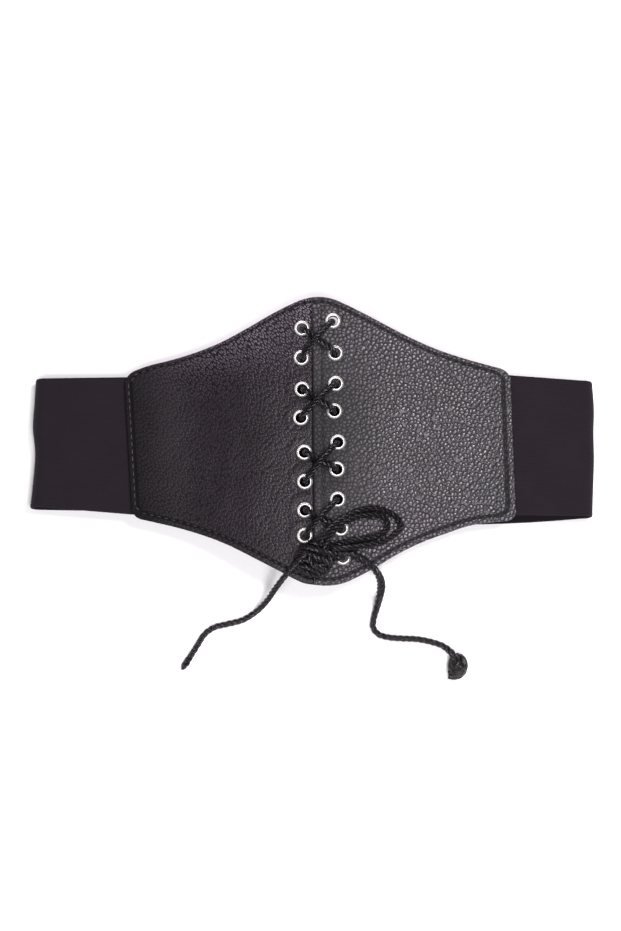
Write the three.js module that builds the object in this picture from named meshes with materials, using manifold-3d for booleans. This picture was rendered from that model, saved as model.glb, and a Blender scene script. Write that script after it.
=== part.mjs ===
// Corset belt with a laced front, laid flat as a closed loop.
// Millimetres. +X runs along the belt, +Y towards its top edge, +Z up from the table.
// The back of the loop lies on the table at Z = 0 and the leather front lies above it.
import * as THREE from 'three';
import { mergeVertices } from 'three/addons/utils/BufferGeometryUtils.js';
import Module from 'manifold-3d';

const wasm = await Module();
wasm.setup();

// Driving sizes
const clearance = 0.3;          // between pieces that touch
const foldToFold = 327.4;       // the flat loop's length, measured to the middle of the elastic
const foldRadius = 5.5;         // of the elastic's middle where it turns back
const frontHeight = 169.7;      // from the top peak to the bottom peak
const archRise = 9;             // of the leather front above its outer edges
const crestHalfWidth = 24;      // flat strip that carries the eyelets
const crestX = 5;
const topPeakX = 4.3;
const bottomPeakX = 7.5;
const seamTopX = -0.5;
const seamBottomX = 1.1;

const leatherThickness = 2;
const leftTopReach = 110.4;     // from the middle to the left panel's outer edge
const leftBottomReach = 105.4;
const rightTopReach = 114.9;
const rightBottomReach = 118.5;
const leftSideTop = 40.1;       // panel heights at the outer edges, above and below the middle
const leftSideBottom = 43.4;
const rightSideTop = 42.1;
const rightSideBottom = 46.4;
const cornerRadius = 6;
const seamRollHeight = 0.7;     // the right panel's folded seam edge
const seamRollWidth = 5.4;

const elasticThickness = 1.3;
const elasticOverlap = 14;      // sewn under each panel
const foldWander = 1.4;         // how far the fold's line leaves a straight one
const claspEntry = 5;           // straight stretch before the clasp, at its slots' height
const claspRise = 16;           // stretch over which the elastic rises from the table to it

// Edges of the elastic above and below the middle: at the panel, at the fold and at the back
const elasticEdges = {
  left: { top: [39.3, 38.4, 37.2], bottom: [42.7, 39.2, 40.5] },
  right: { top: [40.2, 36.9, 35.5], bottom: [43, 42.4, 46.4] },
};

const claspWidth = 26;
const claspHeight = 78;
const claspWall = 1.05;
const claspWeb = 6;             // solid middle between the two slots

const eyeletBore = 2.95;
const eyeletWall = 0.45;
const flangeRadius = 4.7;
const flangeHeight = 0.7;
const backRollRadius = 4.2;
const backRollHeight = 0.6;
const rimChamfer = 0.4;
const eyeletSides = 11;
const leftEyeletWander = 2.1;   // the left column's rows leave a straight line by up to this
const rightEyeletInset = 12;    // from the seam to the right column
const rightEyeletWander = 4.4;

const laceRadius = 1.75;
const laceBend = 3.6;           // of the lace's middle where it turns into an eyelet
const laceSides = 8;
const laceInHole = 0.6;         // how far the lace's middle leans to one side of its eyelet

// The front's edges from a peak outwards: along is the share of the way to the outer edge, and
// the others are the share of the peak's rise over the outer corner that is left there.
const frontOutline = [
  { along: 0, leftTop: 1, rightTop: 1, leftBottom: 1, rightBottom: 1 },
  { along: 0.06, leftTop: 0.985, rightTop: 0.975, leftBottom: 0.985, rightBottom: 0.985 },
  { along: 0.12, leftTop: 0.935, rightTop: 0.912, leftBottom: 0.945, rightBottom: 0.925 },
  { along: 0.25, leftTop: 0.765, rightTop: 0.738, leftBottom: 0.745, rightBottom: 0.72 },
  { along: 0.37, leftTop: 0.588, rightTop: 0.572, leftBottom: 0.555, rightBottom: 0.51 },
  { along: 0.5, leftTop: 0.418, rightTop: 0.41, leftBottom: 0.365, rightBottom: 0.33 },
  { along: 0.62, leftTop: 0.302, rightTop: 0.287, leftBottom: 0.222, rightBottom: 0.19 },
  { along: 0.75, leftTop: 0.203, rightTop: 0.183, leftBottom: 0.128, rightBottom: 0.068 },
  { along: 0.88, leftTop: 0.118, rightTop: 0.088, leftBottom: 0.052, rightBottom: 0.025 },
  { along: 1, leftTop: 0, rightTop: 0, leftBottom: 0, rightBottom: 0 },
];

// One row for each pair of eyelets, from the top: the height of each as a share of half the
// front, and how far it wanders from its column as a share of that column's wander.
const eyeletRows = [
  { leftUp: 0.774, leftOut: 0.47, rightUp: 0.827, rightOut: 0.05 },
  { leftUp: 0.566, leftOut: 0.69, rightUp: 0.6, rightOut: 0.3 },
  { leftUp: 0.345, leftOut: 0.54, rightUp: 0.385, rightOut: 0.32 },
  { leftUp: 0.146, leftOut: 1, rightUp: 0.193, rightOut: 0.1 },
  { leftUp: -0.095, leftOut: 0.13, rightUp: -0.024, rightOut: 0.52 },
  { leftUp: -0.298, leftOut: 0.07, rightUp: -0.212, rightOut: 0.36 },
  { leftUp: -0.494, leftOut: 0.1, rightUp: -0.419, rightOut: 0.39 },
  { leftUp: -0.668, leftOut: 0.2, rightUp: -0.618, rightOut: 0.77 },
  { leftUp: -0.85, leftOut: 0.2, rightUp: -0.816, rightOut: 1 },
];

// The fold's line, from the bottom edge up: how far it stands out, as a share of foldWander.
const foldLines = [
  { up: 0, left: 1, right: 0 },
  { up: 0.2, left: 0.35, right: 0.45 },
  { up: 0.42, left: -0.4, right: 0.7 },
  { up: 0.62, left: 0.5, right: 0.4 },
  { up: 0.8, left: 0, right: 0.95 },
  { up: 1, left: -0.5, right: 0.2 },
];

// The lace's loose stretches, from the knot outwards. Points chosen along the real cord.
const leftEndRoute = [
  [-4.6, -69.2, 28.6], [-6.7, -70.5, 28.1], [-9, -72.6, 27], [-12.5, -76.3, 25.8],
  [-16.4, -80.9, 25.3], [-19.2, -84.2, 23.2], [-22, -87.4, 18.6], [-26.9, -93.2, 9.4],
  [-33, -98.5, 3.4], [-40.7, -103.1, 1.9], [-49.6, -105.5, 1.8], [-57.6, -107.6, 1.8],
  [-62.9, -111.6, 1.8], [-66.2, -116.8, 1.8], [-68.9, -121.2, 1.8], [-71.2, -124.8, 1.8],
];
const rightEndRoute = [
  [11.8, -66.3, 26.9], [14.5, -66.2, 26.8], [17.6, -66.2, 26.7], [21.6, -67.1, 26.3],
  [26.4, -68.9, 25.7], [31.2, -72.2, 25.6], [35.1, -76, 24.9], [38, -79.8, 21.4],
  [39.5, -84, 14.8], [38.9, -89.4, 7], [37.3, -95.8, 2.6], [35.4, -103, 1.8],
  [35.2, -107.6, 1.8], [38.2, -111.4, 1.8], [43.9, -113.2, 1.8], [52.1, -113.9, 1.8],
  [60.5, -114.3, 1.8], [68.8, -115.9, 1.8], [75.6, -118.3, 1.8], [79.6, -121.4, 2.4],
  [82.2, -124.6, 4],
];
const outerLoopRoute = [
  [9.6, -58.8, 31.4], [11.4, -56.4, 32.3], [14.2, -53.2, 32.5], [17.6, -49.4, 31.3],
  [22.3, -44.9, 27.4], [28.9, -41.9, 25.7], [36.4, -41.1, 25.5], [43.9, -43.3, 24.9],
  [49.4, -47.4, 24.2], [50.8, -51.8, 24.1], [47.3, -56.1, 24.5], [41.3, -59.9, 25.1],
  [33.8, -62, 25.7], [23.8, -63.9, 28], [14.6, -65.2, 31.2], [11.2, -65.3, 31.6],
];
const innerLoopRoute = [
  [11.4, -59.8, 27.5], [14.4, -57.5, 28.7], [19.1, -53.5, 29.8], [24.4, -48.7, 28.5],
  [29.8, -45.9, 26.4], [36.4, -45.1, 25.7], [41, -46.7, 25.3], [43.1, -49.8, 25],
  [42, -53.9, 25.1], [37.6, -56.8, 25.4], [29.6, -58.9, 25.8], [22, -60.1, 27.4],
  [14, -62.2, 27.8], [11, -63.2, 27.6],
];

// The knots, with strands laid over a soft core
const bowKnot = { x: 3.6, y: -69.6, z: 27.6, width: 17.6, height: 19, depth: 10.4 };
const bowKnotLift = 1.1;         // above the leather, clear of the folded seam
const bowKnotEntry = 4;          // below the knot's middle, where the lacing's first end goes in
const bowKnotStrands = [
  [[-4.4, -63.6, 27], [-1.2, -64.8, 31], [4.2, -66.6, 33.2], [9.6, -68.4, 31.6], [11.6, -69.4, 28]],
  [[-2.8, -67.6, 27], [0.4, -69.6, 31.4], [4.4, -72.6, 32.4], [7.4, -75.4, 30], [8.4, -77, 27.4]],
  [[-4.2, -72, 27], [-1, -74.6, 30.2], [3, -76.8, 30], [6.4, -78.4, 27.4]],
];
const stopKnot = { x: 84.2, y: -128.8, z: 4.6, width: 9, height: 9.4, depth: 8.8 };
const stopKnotStrands = [
  [[81.4, -124.8, 3.4], [80.6, -127.4, 5.6], [82.4, -130.6, 7.4], [86, -131, 6.2], [87.6, -128.4, 4]],
  [[83.6, -124, 5], [86.4, -125.6, 7.2], [87.8, -129, 6.4], [87.4, -132, 3.6]],
  [[87.4, -129.8, 2.6], [87.2, -133.2, 2.2], [84.4, -135.4, 1.9], [81.2, -135.6, 1.8], [78.9, -134.4, 1.8]],
];
const leftTip = { length: 8.2, width: 4.4, depth: 2.6, gap: 0.4 };

// Values that follow from them
const frontMiddleZ = elasticThickness / 2 + 2 * foldRadius;
const panelEdgeZ = frontMiddleZ + elasticThickness / 2 + clearance + leatherThickness / 2;
const crestZ = panelEdgeZ + archRise;
const crestTop = crestZ + leatherThickness / 2;
const backZ = elasticThickness / 2;
const slotHeight = elasticThickness + 2 * clearance;
const claspThickness = slotHeight + 2 * claspWall;
const inClaspZ = claspWall + slotHeight / 2;

// A smooth value from a table of rows, through its points
function along(rows, key, column, at) {
  const last = rows.length - 1;
  let i = 0;
  while (i < last - 1 && at > rows[i + 1][key]) i += 1;
  const slope = (k) => {
    const a = rows[Math.max(k - 1, 0)];
    const b = rows[Math.min(k + 1, last)];
    return (b[column] - a[column]) / (b[key] - a[key]);
  };
  const from = rows[i];
  const to = rows[i + 1];
  const run = to[key] - from[key];
  const t = (at - from[key]) / run;
  const flat = key === 'along' && i === 0 ? 0 : slope(i);
  return (2 * t ** 3 - 3 * t ** 2 + 1) * from[column] + (t ** 3 - 2 * t ** 2 + t) * run * flat
    + (3 * t ** 2 - 2 * t ** 3) * to[column] + (t ** 3 - t ** 2) * run * slope(i + 1);
}

const mix = (a, b, t) => a + (b - a) * t;

// The seam's and the outer edges' places at a height, from the bottom peak up
function seamX(y) {
  return mix(seamBottomX, seamTopX, 0.5 + y / frontHeight);
}

const sides = {
  left: {
    sign: -1, topReach: leftTopReach, bottomReach: leftBottomReach, top: leftSideTop,
    bottom: leftSideBottom, topColumn: 'leftTop', bottomColumn: 'leftBottom',
  },
  right: {
    sign: 1, topReach: rightTopReach, bottomReach: rightBottomReach, top: rightSideTop,
    bottom: rightSideBottom, topColumn: 'rightTop', bottomColumn: 'rightBottom',
  },
};

// Height of the leather's middle above the table
function archZ(x) {
  const side = x < crestX ? sides.left : sides.right;
  const foot = Math.min(side.topReach, side.bottomReach) - elasticOverlap;
  const fall = (Math.abs(x - crestX) - crestHalfWidth)
    / (foot - side.sign * crestX - crestHalfWidth);
  const t = Math.min(Math.max(fall, 0), 1);
  return panelEdgeZ + archRise * Math.cos(t * Math.PI / 2) ** 2;
}

// The front's top (end 1) or bottom (end -1) edge at x
function edgeY(x, end) {
  const peakX = end > 0 ? topPeakX : bottomPeakX;
  const side = x < peakX ? sides.left : sides.right;
  const reach = end > 0 ? side.topReach : side.bottomReach;
  const atSide = end > 0 ? side.top : side.bottom;
  const share = Math.min((x - peakX) / (side.sign * reach - peakX), 1);
  const column = end > 0 ? side.topColumn : side.bottomColumn;
  return end * mix(atSide, frontHeight / 2, along(frontOutline, 'along', column, share));
}

function cornerDrop(fromOuter) {
  const into = Math.max(cornerRadius - fromOuter, 0);
  return cornerRadius - Math.sqrt(cornerRadius ** 2 - into ** 2);
}

// A closed wall from two grids of points, each [column][row]
function wallGeometry(upper, lower) {
  const columns = upper.length;
  const rows = upper[0].length;
  const positions = [...upper.flat(), ...lower.flat()].flat();
  const id = (layer, i, j) => layer * columns * rows + i * rows + j;
  const index = [];
  const quad = (a, b, c, d) => index.push(a, b, c, a, c, d);
  for (let i = 0; i < columns - 1; i += 1) {
    for (let j = 0; j < rows - 1; j += 1) {
      quad(id(0, i, j), id(0, i + 1, j), id(0, i + 1, j + 1), id(0, i, j + 1));
      quad(id(1, i, j), id(1, i, j + 1), id(1, i + 1, j + 1), id(1, i + 1, j));
    }
    quad(id(0, i, 0), id(1, i, 0), id(1, i + 1, 0), id(0, i + 1, 0));
    quad(id(0, i, rows - 1), id(0, i + 1, rows - 1), id(1, i + 1, rows - 1), id(1, i, rows - 1));
  }
  for (let j = 0; j < rows - 1; j += 1) {
    quad(id(0, 0, j), id(0, 0, j + 1), id(1, 0, j + 1), id(1, 0, j));
    quad(id(0, columns - 1, j), id(1, columns - 1, j), id(1, columns - 1, j + 1), id(0, columns - 1, j + 1));
  }
  const geometry = new THREE.BufferGeometry();
  geometry.setAttribute('position', new THREE.Float32BufferAttribute(positions, 3));
  geometry.setIndex(index);
  return geometry;
}

// Joining and cutting
function toSolid(geometry) {
  const bare = geometry.clone();
  bare.deleteAttribute('normal');
  bare.deleteAttribute('uv');
  const merged = mergeVertices(bare, 1e-4);
  return new wasm.Manifold(new wasm.Mesh({
    numProp: 3,
    vertProperties: new Float32Array(merged.attributes.position.array),
    triVerts: new Uint32Array(merged.index.array),
  }));
}

function toGeometry(solid) {
  const mesh = solid.getMesh();
  const geometry = new THREE.BufferGeometry();
  geometry.setAttribute('position', new THREE.BufferAttribute(new Float32Array(mesh.vertProperties), 3));
  geometry.setIndex(new THREE.BufferAttribute(new Uint32Array(mesh.triVerts), 1));
  return geometry;
}

// A round rod along smooth points, with its rings at even shares between the points
class RoutedCurve extends THREE.CatmullRomCurve3 {
  getPointAt(t, target) {
    return this.getPoint(t, target);
  }

  getTangentAt(t, target) {
    return this.getTangent(t, target);
  }
}

function rodGeometry(points, radius, stepsEach = 1) {
  const path = new RoutedCurve(points.map((p) => new THREE.Vector3(...p)), false, 'centripetal');
  const section = new THREE.Shape();
  for (let k = 0; k < laceSides; k += 1) {
    const turn = (k + 0.5) * 2 * Math.PI / laceSides;
    const corner = [radius * Math.cos(turn), radius * Math.sin(turn)];
    if (k === 0) section.moveTo(...corner);
    else section.lineTo(...corner);
  }
  section.closePath();
  return new THREE.ExtrudeGeometry(section, {
    steps: (points.length - 1) * stepsEach, bevelEnabled: false, extrudePath: path,
  });
}

// Materials
const materials = {
  leftLeather: new THREE.MeshStandardMaterial({ color: 0x2b262b, roughness: 0.5 }),
  rightLeather: new THREE.MeshStandardMaterial({ color: 0x3a353b, roughness: 0.45 }),
  elastic: new THREE.MeshStandardMaterial({ color: 0x1c181c, roughness: 0.95 }),
  lace: new THREE.MeshStandardMaterial({ color: 0x19161a, roughness: 0.6 }),
  nickel: new THREE.MeshStandardMaterial({ color: 0xc9c7c4, roughness: 0.25, metalness: 1 }),
  clasp: new THREE.MeshStandardMaterial({ color: 0x141214, roughness: 0.5 }),
};

const group = new THREE.Group();

function add(name, geometry, material) {
  const mesh = new THREE.Mesh(geometry, material);
  mesh.name = name;
  group.add(mesh);
  return mesh;
}

// Eyelet places
const eyelets = { left: [], right: [] };
for (const row of eyeletRows) {
  const leftY = row.leftUp * frontHeight / 2;
  const rightY = row.rightUp * frontHeight / 2;
  const leftInset = flangeRadius + clearance + leftEyeletWander * row.leftOut;
  const rightInset = rightEyeletInset + rightEyeletWander * row.rightOut;
  eyelets.left.push({ x: seamX(leftY) - leftInset, y: leftY });
  eyelets.right.push({ x: seamX(rightY) + rightInset, y: rightY });
}

// Leather panels
const panelColumns = 12;
const panelRows = 7;
const outerColumns = [5.4, 3.4, 1.6, 0.5, 0];  // distances from the outer edge, round the corners

function panelGeometry(side) {
  const isRight = side === sides.right;
  const columns = [];
  const rollColumns = isRight ? [0, 0.5, 0.8, 1] : [0];
  for (const share of rollColumns) columns.push({ fromSeam: share * seamRollWidth });
  const start = isRight ? 2 : 1;
  for (let i = start; i <= panelColumns; i += 1) columns.push({ share: i / (panelColumns + 1) });
  for (const distance of outerColumns) columns.push({ fromOuter: distance });

  const upper = [];
  const lower = [];
  for (const column of columns) {
    const place = (end) => {
      const inner = seamX(end * frontHeight / 2) + (isRight ? 0 : -clearance);
      const outer = side.sign * (end > 0 ? side.topReach : side.bottomReach);
      if ('share' in column) return mix(inner, outer, column.share);
      if ('fromSeam' in column) return inner + side.sign * column.fromSeam;
      return outer - side.sign * column.fromOuter;
    };
    const drop = 'fromOuter' in column ? cornerDrop(column.fromOuter) : 0;
    const topX = place(1);
    const bottomX = place(-1);
    const topY = edgeY(topX, 1) - drop;
    const bottomY = edgeY(bottomX, -1) + drop;
    const upperColumn = [];
    const lowerColumn = [];
    for (let j = 0; j <= panelRows; j += 1) {
      const t = j / panelRows;
      const x = mix(bottomX, topX, t);
      const y = mix(bottomY, topY, t);
      const slope = (archZ(x + 0.01) - archZ(x - 0.01)) / 0.02;
      const tilt = new THREE.Vector2(-slope, 1).normalize().multiplyScalar(leatherThickness / 2);
      const inRoll = isRight && 'fromSeam' in column ? column.fromSeam / seamRollWidth : 1;
      const roll = seamRollHeight * Math.cos(Math.min(inRoll, 1) * Math.PI / 2) ** 0.5;
      upperColumn.push([x + tilt.x, y, archZ(x) + tilt.y + (inRoll < 1 ? roll : 0)]);
      lowerColumn.push([x - tilt.x, y, archZ(x) - tilt.y]);
    }
    upper.push(upperColumn);
    lower.push(lowerColumn);
  }
  if (!isRight) {
    upper.reverse();
    lower.reverse();
  }
  return wallGeometry(upper, lower);
}

function eyeletHole(place) {
  const hole = new THREE.CylinderGeometry(
    eyeletBore + eyeletWall + clearance, eyeletBore + eyeletWall + clearance,
    4 * leatherThickness, 2 * eyeletSides,
  );
  hole.rotateX(Math.PI / 2);
  hole.translate(place.x, place.y, crestZ);
  return toSolid(hole);
}

for (const name of ['left', 'right']) {
  let panel = toSolid(panelGeometry(sides[name]));
  for (const place of eyelets[name]) panel = panel.subtract(eyeletHole(place));
  add(`front_panel_${name}`, toGeometry(panel), materials[`${name}Leather`]);
}

// Elastic halves, from under the panel round the fold to the clasp
const foldSteps = 8;
const frontSteps = 4;
const backSteps = 6;
const acrossSteps = 5;

function elasticGeometry(side) {
  const isLeft = side === sides.left;
  const outward = side.sign;
  const edges = isLeft ? elasticEdges.left : elasticEdges.right;
  const inner = Math.min(side.topReach, side.bottomReach) - elasticOverlap;
  const foldX = foldToFold / 2 - foldRadius;
  const slotEnd = claspWeb / 2 + clearance;
  const claspEdge = claspWidth / 2;

  // Stations along the band: x and z of its middle, its normal's direction, how near the fold
  // it is and how far along the back
  const stations = [];
  for (let i = 0; i < frontSteps; i += 1) {
    const x = mix(inner, foldX, i / frontSteps);
    stations.push({ x, z: frontMiddleZ, nx: 0, nz: 1, fold: i / frontSteps, back: 0 });
  }
  for (let i = 0; i <= foldSteps; i += 1) {
    const angle = Math.PI * i / foldSteps;
    stations.push({
      x: foldX + foldRadius * Math.sin(angle),
      z: backZ + foldRadius * (1 + Math.cos(angle)),
      nx: Math.sin(angle), nz: Math.cos(angle), fold: 1, back: 0,
    });
  }
  for (let i = 1; i < backSteps; i += 1) {
    const share = i / (backSteps - 1);
    const x = mix(foldX, claspEdge + claspRise + claspEntry, share);
    const back = 1 - (1 - share) ** 3;
    stations.push({ x, z: backZ, nx: 0, nz: -1, fold: 1 - i / backSteps, back });
  }
  for (const t of [0.35, 0.7, 1]) {
    const lift = (1 - Math.cos(t * Math.PI)) / 2;
    stations.push({
      x: claspEdge + claspEntry + claspRise * (1 - t), z: mix(backZ, inClaspZ, lift),
      nx: 0, nz: -1, fold: 0, back: 1,
    });
  }
  stations.push({ x: slotEnd, z: inClaspZ, nx: 0, nz: -1, fold: 0, back: 1 });
  const edgeAt = (s, [atPanel, atFold, atBack]) => (
    s.back > 0 ? mix(atFold, atBack, s.back) : mix(atPanel, atFold, s.fold)
  );

  const outer = [];
  const innerFace = [];
  const half = elasticThickness / 2;
  for (const s of stations) {
    const top = edgeAt(s, edges.top);
    const bottom = -edgeAt(s, edges.bottom);
    const outerColumn = [];
    const innerColumn = [];
    for (let j = 0; j <= acrossSteps; j += 1) {
      const t = j / acrossSteps;
      const y = mix(bottom, top, t);
      const wander = foldWander * along(foldLines, 'up', isLeft ? 'left' : 'right', t) * s.fold;
      const x = s.x + wander;
      outerColumn.push([outward * (x + half * s.nx), y, s.z + half * s.nz]);
      innerColumn.push([outward * (x - half * s.nx), y, s.z - half * s.nz]);
    }
    outer.push(outerColumn);
    innerFace.push(innerColumn);
  }
  if (isLeft) {
    outer.reverse();
    innerFace.reverse();
  }
  return wallGeometry(outer, innerFace);
}

add('elastic_left', elasticGeometry(sides.left), materials.elastic);
add('elastic_right', elasticGeometry(sides.right), materials.elastic);

// Clasp at the back: one bar with a slot on each side for the ends of the elastic
const backEnds = [elasticEdges.left, elasticEdges.right];
const claspMiddleY = backEnds.reduce((sum, edge) => sum + edge.top[2] - edge.bottom[2], 0) / 4;

function claspGeometry() {
  const w = claspWidth / 2;
  const web = claspWeb / 2;
  const low = claspWall;
  const high = claspWall + slotHeight;
  const outline = new THREE.Shape([
    [-w, 0], [w, 0], [w, low], [web, low], [web, high], [w, high],
    [w, claspThickness], [-w, claspThickness], [-w, high], [-web, high], [-web, low], [-w, low],
  ].map((p) => new THREE.Vector2(...p)));
  const geometry = new THREE.ExtrudeGeometry(outline, { depth: claspHeight, bevelEnabled: false });
  geometry.rotateX(Math.PI / 2);
  geometry.translate(0, claspHeight / 2 + claspMiddleY, 0);
  return geometry;
}

add('back_clasp', claspGeometry(), materials.clasp);

// Eyelets
function eyeletGeometry() {
  const face = leatherThickness / 2 + clearance;
  const barrel = eyeletBore + eyeletWall;
  const top = face + flangeHeight;
  const profile = [
    [eyeletBore, -face - backRollHeight], [backRollRadius, -face - backRollHeight * 0.6],
    [backRollRadius, -face], [barrel, -face], [barrel, face], [flangeRadius, face],
    [flangeRadius - rimChamfer, top], [eyeletBore + rimChamfer, top],
    [eyeletBore, top - rimChamfer], [eyeletBore, -face - backRollHeight],
  ].map((p) => new THREE.Vector2(...p));
  const geometry = new THREE.LatheGeometry(profile, eyeletSides);
  geometry.rotateX(Math.PI / 2);
  return geometry;
}

for (const name of ['left', 'right']) {
  eyelets[name].forEach((place, i) => {
    const mesh = add(`eyelet_${name}_${i + 1}`, eyeletGeometry(), materials.nickel);
    mesh.position.set(place.x, place.y, crestZ);
  });
}

// Lacing: one lace through every eyelet, crossing on the outside between rows 1 and 2,
// 3 and 4, 5 and 6, and 7 and 8, and on the inside between the others
const levelStep = 2 * laceRadius + clearance;
const mouthZ = leatherThickness / 2 + clearance + flangeHeight - rimChamfer;
const restZ = leatherThickness / 2 + clearance + laceRadius;

function crossingPoint(a, b, c, d) {
  const ab = { x: b.x - a.x, y: b.y - a.y };
  const cd = { x: d.x - c.x, y: d.y - c.y };
  const t = ((c.x - a.x) * cd.y - (c.y - a.y) * cd.x) / (ab.x * cd.y - ab.y * cd.x);
  return { x: a.x + ab.x * t, y: a.y + ab.y * t };
}

// Points out of one eyelet towards another, on the outside (face 1) or the inside (face -1)
function turnOut(from, towards, face) {
  const d = new THREE.Vector2(towards.x - from.x, towards.y - from.y).normalize();
  const halfTurn = Math.SQRT1_2 * laceBend;
  return [
    [laceInHole, 0.2], [laceInHole, mouthZ],
    [laceInHole + laceBend - halfTurn, mouthZ + halfTurn],
    [laceInHole + laceBend, mouthZ + laceBend],
  ].map(([out, lift]) => [from.x + d.x * out, from.y + d.y * out, crestZ + face * lift]);
}

function lacingPoints() {
  const { left, right } = eyelets;
  const last = eyeletRows.length - 1;
  const order = [right[last]];
  for (let i = last - 1; i >= 0; i -= 1) order.push(i % 2 ? left[i] : right[i]);
  for (let i = 0; i < last; i += 1) order.push(i % 2 ? right[i] : left[i]);
  order.push(left[last]);

  const rowOf = (place) => Math.max(left.indexOf(place), right.indexOf(place));
  const points = [];
  const knotSide = { x: bowKnot.x, y: bowKnot.y - bowKnotEntry };
  points.push(...turnOut(order[0], knotSide, 1).reverse());
  for (let i = 0; i < order.length - 1; i += 1) {
    const from = order[i];
    const to = order[i + 1];
    const upper = Math.min(rowOf(from), rowOf(to));
    const face = rowOf(from) === rowOf(to) || upper % 2 === 1 ? -1 : 1;
    points.push(...turnOut(from, to, face));
    if (rowOf(from) !== rowOf(to)) {
      const middle = crossingPoint(left[upper], right[upper + 1], right[upper], left[upper + 1]);
      const goesOver = [from, to].includes(left[upper]) === (face < 0);
      const raised = face > 0 ? seamRollHeight : 0;
      const lift = restZ + raised + (goesOver ? levelStep : 0);
      points.push([middle.x, middle.y, crestZ + face * lift]);
    }
    points.push(...turnOut(to, from, face).reverse());
  }
  points.push(...turnOut(order[order.length - 1], bowKnot, 1).slice(0, 2));
  return points;
}

// Turns share the point in the middle of each hole, so near-equal neighbours are dropped
function withoutRepeats(points) {
  const kept = [points[0]];
  for (const p of points.slice(1)) {
    const before = kept[kept.length - 1];
    if (Math.hypot(p[0] - before[0], p[1] - before[1], p[2] - before[2]) > 1) kept.push(p);
  }
  return kept;
}

const lacingRoute = withoutRepeats(lacingPoints());
add('lacing', rodGeometry(lacingRoute, laceRadius), materials.lace);

// Loose stretches of the lace
const looseLaces = {
  lace_end_left: leftEndRoute,
  lace_end_right: rightEndRoute,
  bow_loop_outer: outerLoopRoute,
  bow_loop_inner: innerLoopRoute,
};
for (const [name, route] of Object.entries(looseLaces)) {
  add(name, rodGeometry(route, laceRadius), materials.lace);
}

// Knots: a soft core under crossing strands, cut clear of what runs into it
function knotSolid(knot, strands) {
  const core = new THREE.SphereGeometry(1, 12, 7);
  core.scale(knot.width / 2, knot.height / 2, knot.depth / 2);
  core.translate(knot.x, knot.y, knot.z);
  let solid = toSolid(core);
  for (const strand of strands) solid = solid.add(toSolid(rodGeometry(strand, laceRadius)));
  return solid;
}

function halfSpaceBelow(knot, z) {
  const size = 3 * knot.height;
  const block = new THREE.BoxGeometry(size, size, size);
  block.translate(knot.x, knot.y, z - size / 2);
  return toSolid(block);
}

// The room that a lace needs in a knot: its facets stand a little inside its true round
function laceRoom(route) {
  const facetSlack = 1.4;
  return toSolid(rodGeometry(route, laceRadius + facetSlack * clearance));
}

function largest(solid) {
  return solid.decompose().sort((a, b) => b.volume() - a.volume())[0];
}

function bowKnotGeometry() {
  let solid = knotSolid(bowKnot, bowKnotStrands);
  solid = solid.subtract(halfSpaceBelow(bowKnot, crestTop + bowKnotLift));
  for (const route of Object.values(looseLaces)) solid = solid.subtract(laceRoom(route));
  solid = solid.subtract(laceRoom(lacingRoute.slice(0, 5)));
  solid = solid.subtract(laceRoom(lacingRoute.slice(-4)));
  const roomRadius = flangeRadius + clearance;
  const roomHeight = 2 * (flangeHeight + 2 * clearance);
  const room = new THREE.CylinderGeometry(roomRadius, roomRadius, roomHeight, 16);
  room.rotateX(Math.PI / 2);
  for (const place of [eyelets.left.at(-1), eyelets.right.at(-1)]) {
    solid = solid.subtract(toSolid(room.clone().translate(place.x, place.y, crestTop)));
  }
  return toGeometry(largest(solid));
}
add('bow_knot', bowKnotGeometry(), materials.lace);

// Stop knot at the right end, whose tail comes out under it
function stopKnotGeometry() {
  let solid = knotSolid(stopKnot, stopKnotStrands);
  solid = solid.subtract(halfSpaceBelow(stopKnot, 0));
  solid = solid.subtract(laceRoom(rightEndRoute));
  return toGeometry(largest(solid));
}
add('stop_knot_right', stopKnotGeometry(), materials.lace);

// Flattened tip of the left end, a leaf-shaped plate in line with the lace
function leftTipGeometry() {
  const end = new THREE.Vector3(...leftEndRoute[leftEndRoute.length - 1]);
  const before = new THREE.Vector3(...leftEndRoute[leftEndRoute.length - 2]);
  const heading = end.clone().sub(before).normalize();
  const w = leftTip.width / 2;
  const l = leftTip.length;
  const leaf = new THREE.Shape();
  leaf.moveTo(0, -laceRadius);
  leaf.quadraticCurveTo(l * 0.3, -w, l * 0.5, -w * 0.95);
  leaf.quadraticCurveTo(l * 0.8, -w * 0.8, l, -0.3);
  leaf.lineTo(l, 0.3);
  leaf.quadraticCurveTo(l * 0.8, w * 0.8, l * 0.5, w * 0.95);
  leaf.quadraticCurveTo(l * 0.3, w, 0, laceRadius);
  leaf.closePath();
  const geometry = new THREE.ExtrudeGeometry(leaf, {
    depth: leftTip.depth, bevelEnabled: false, curveSegments: 4,
  });
  geometry.translate(leftTip.gap, 0, 0);
  geometry.rotateZ(Math.atan2(heading.y, heading.x));
  geometry.translate(end.x, end.y, end.z - leftTip.depth / 2);
  return geometry;
}
add('lace_tip_left', leftTipGeometry(), materials.lace);

export default group;
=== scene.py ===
"""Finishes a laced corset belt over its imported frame. Metres, +X along the belt, +Z up."""
import math

import bpy
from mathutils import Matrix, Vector, noise


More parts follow.
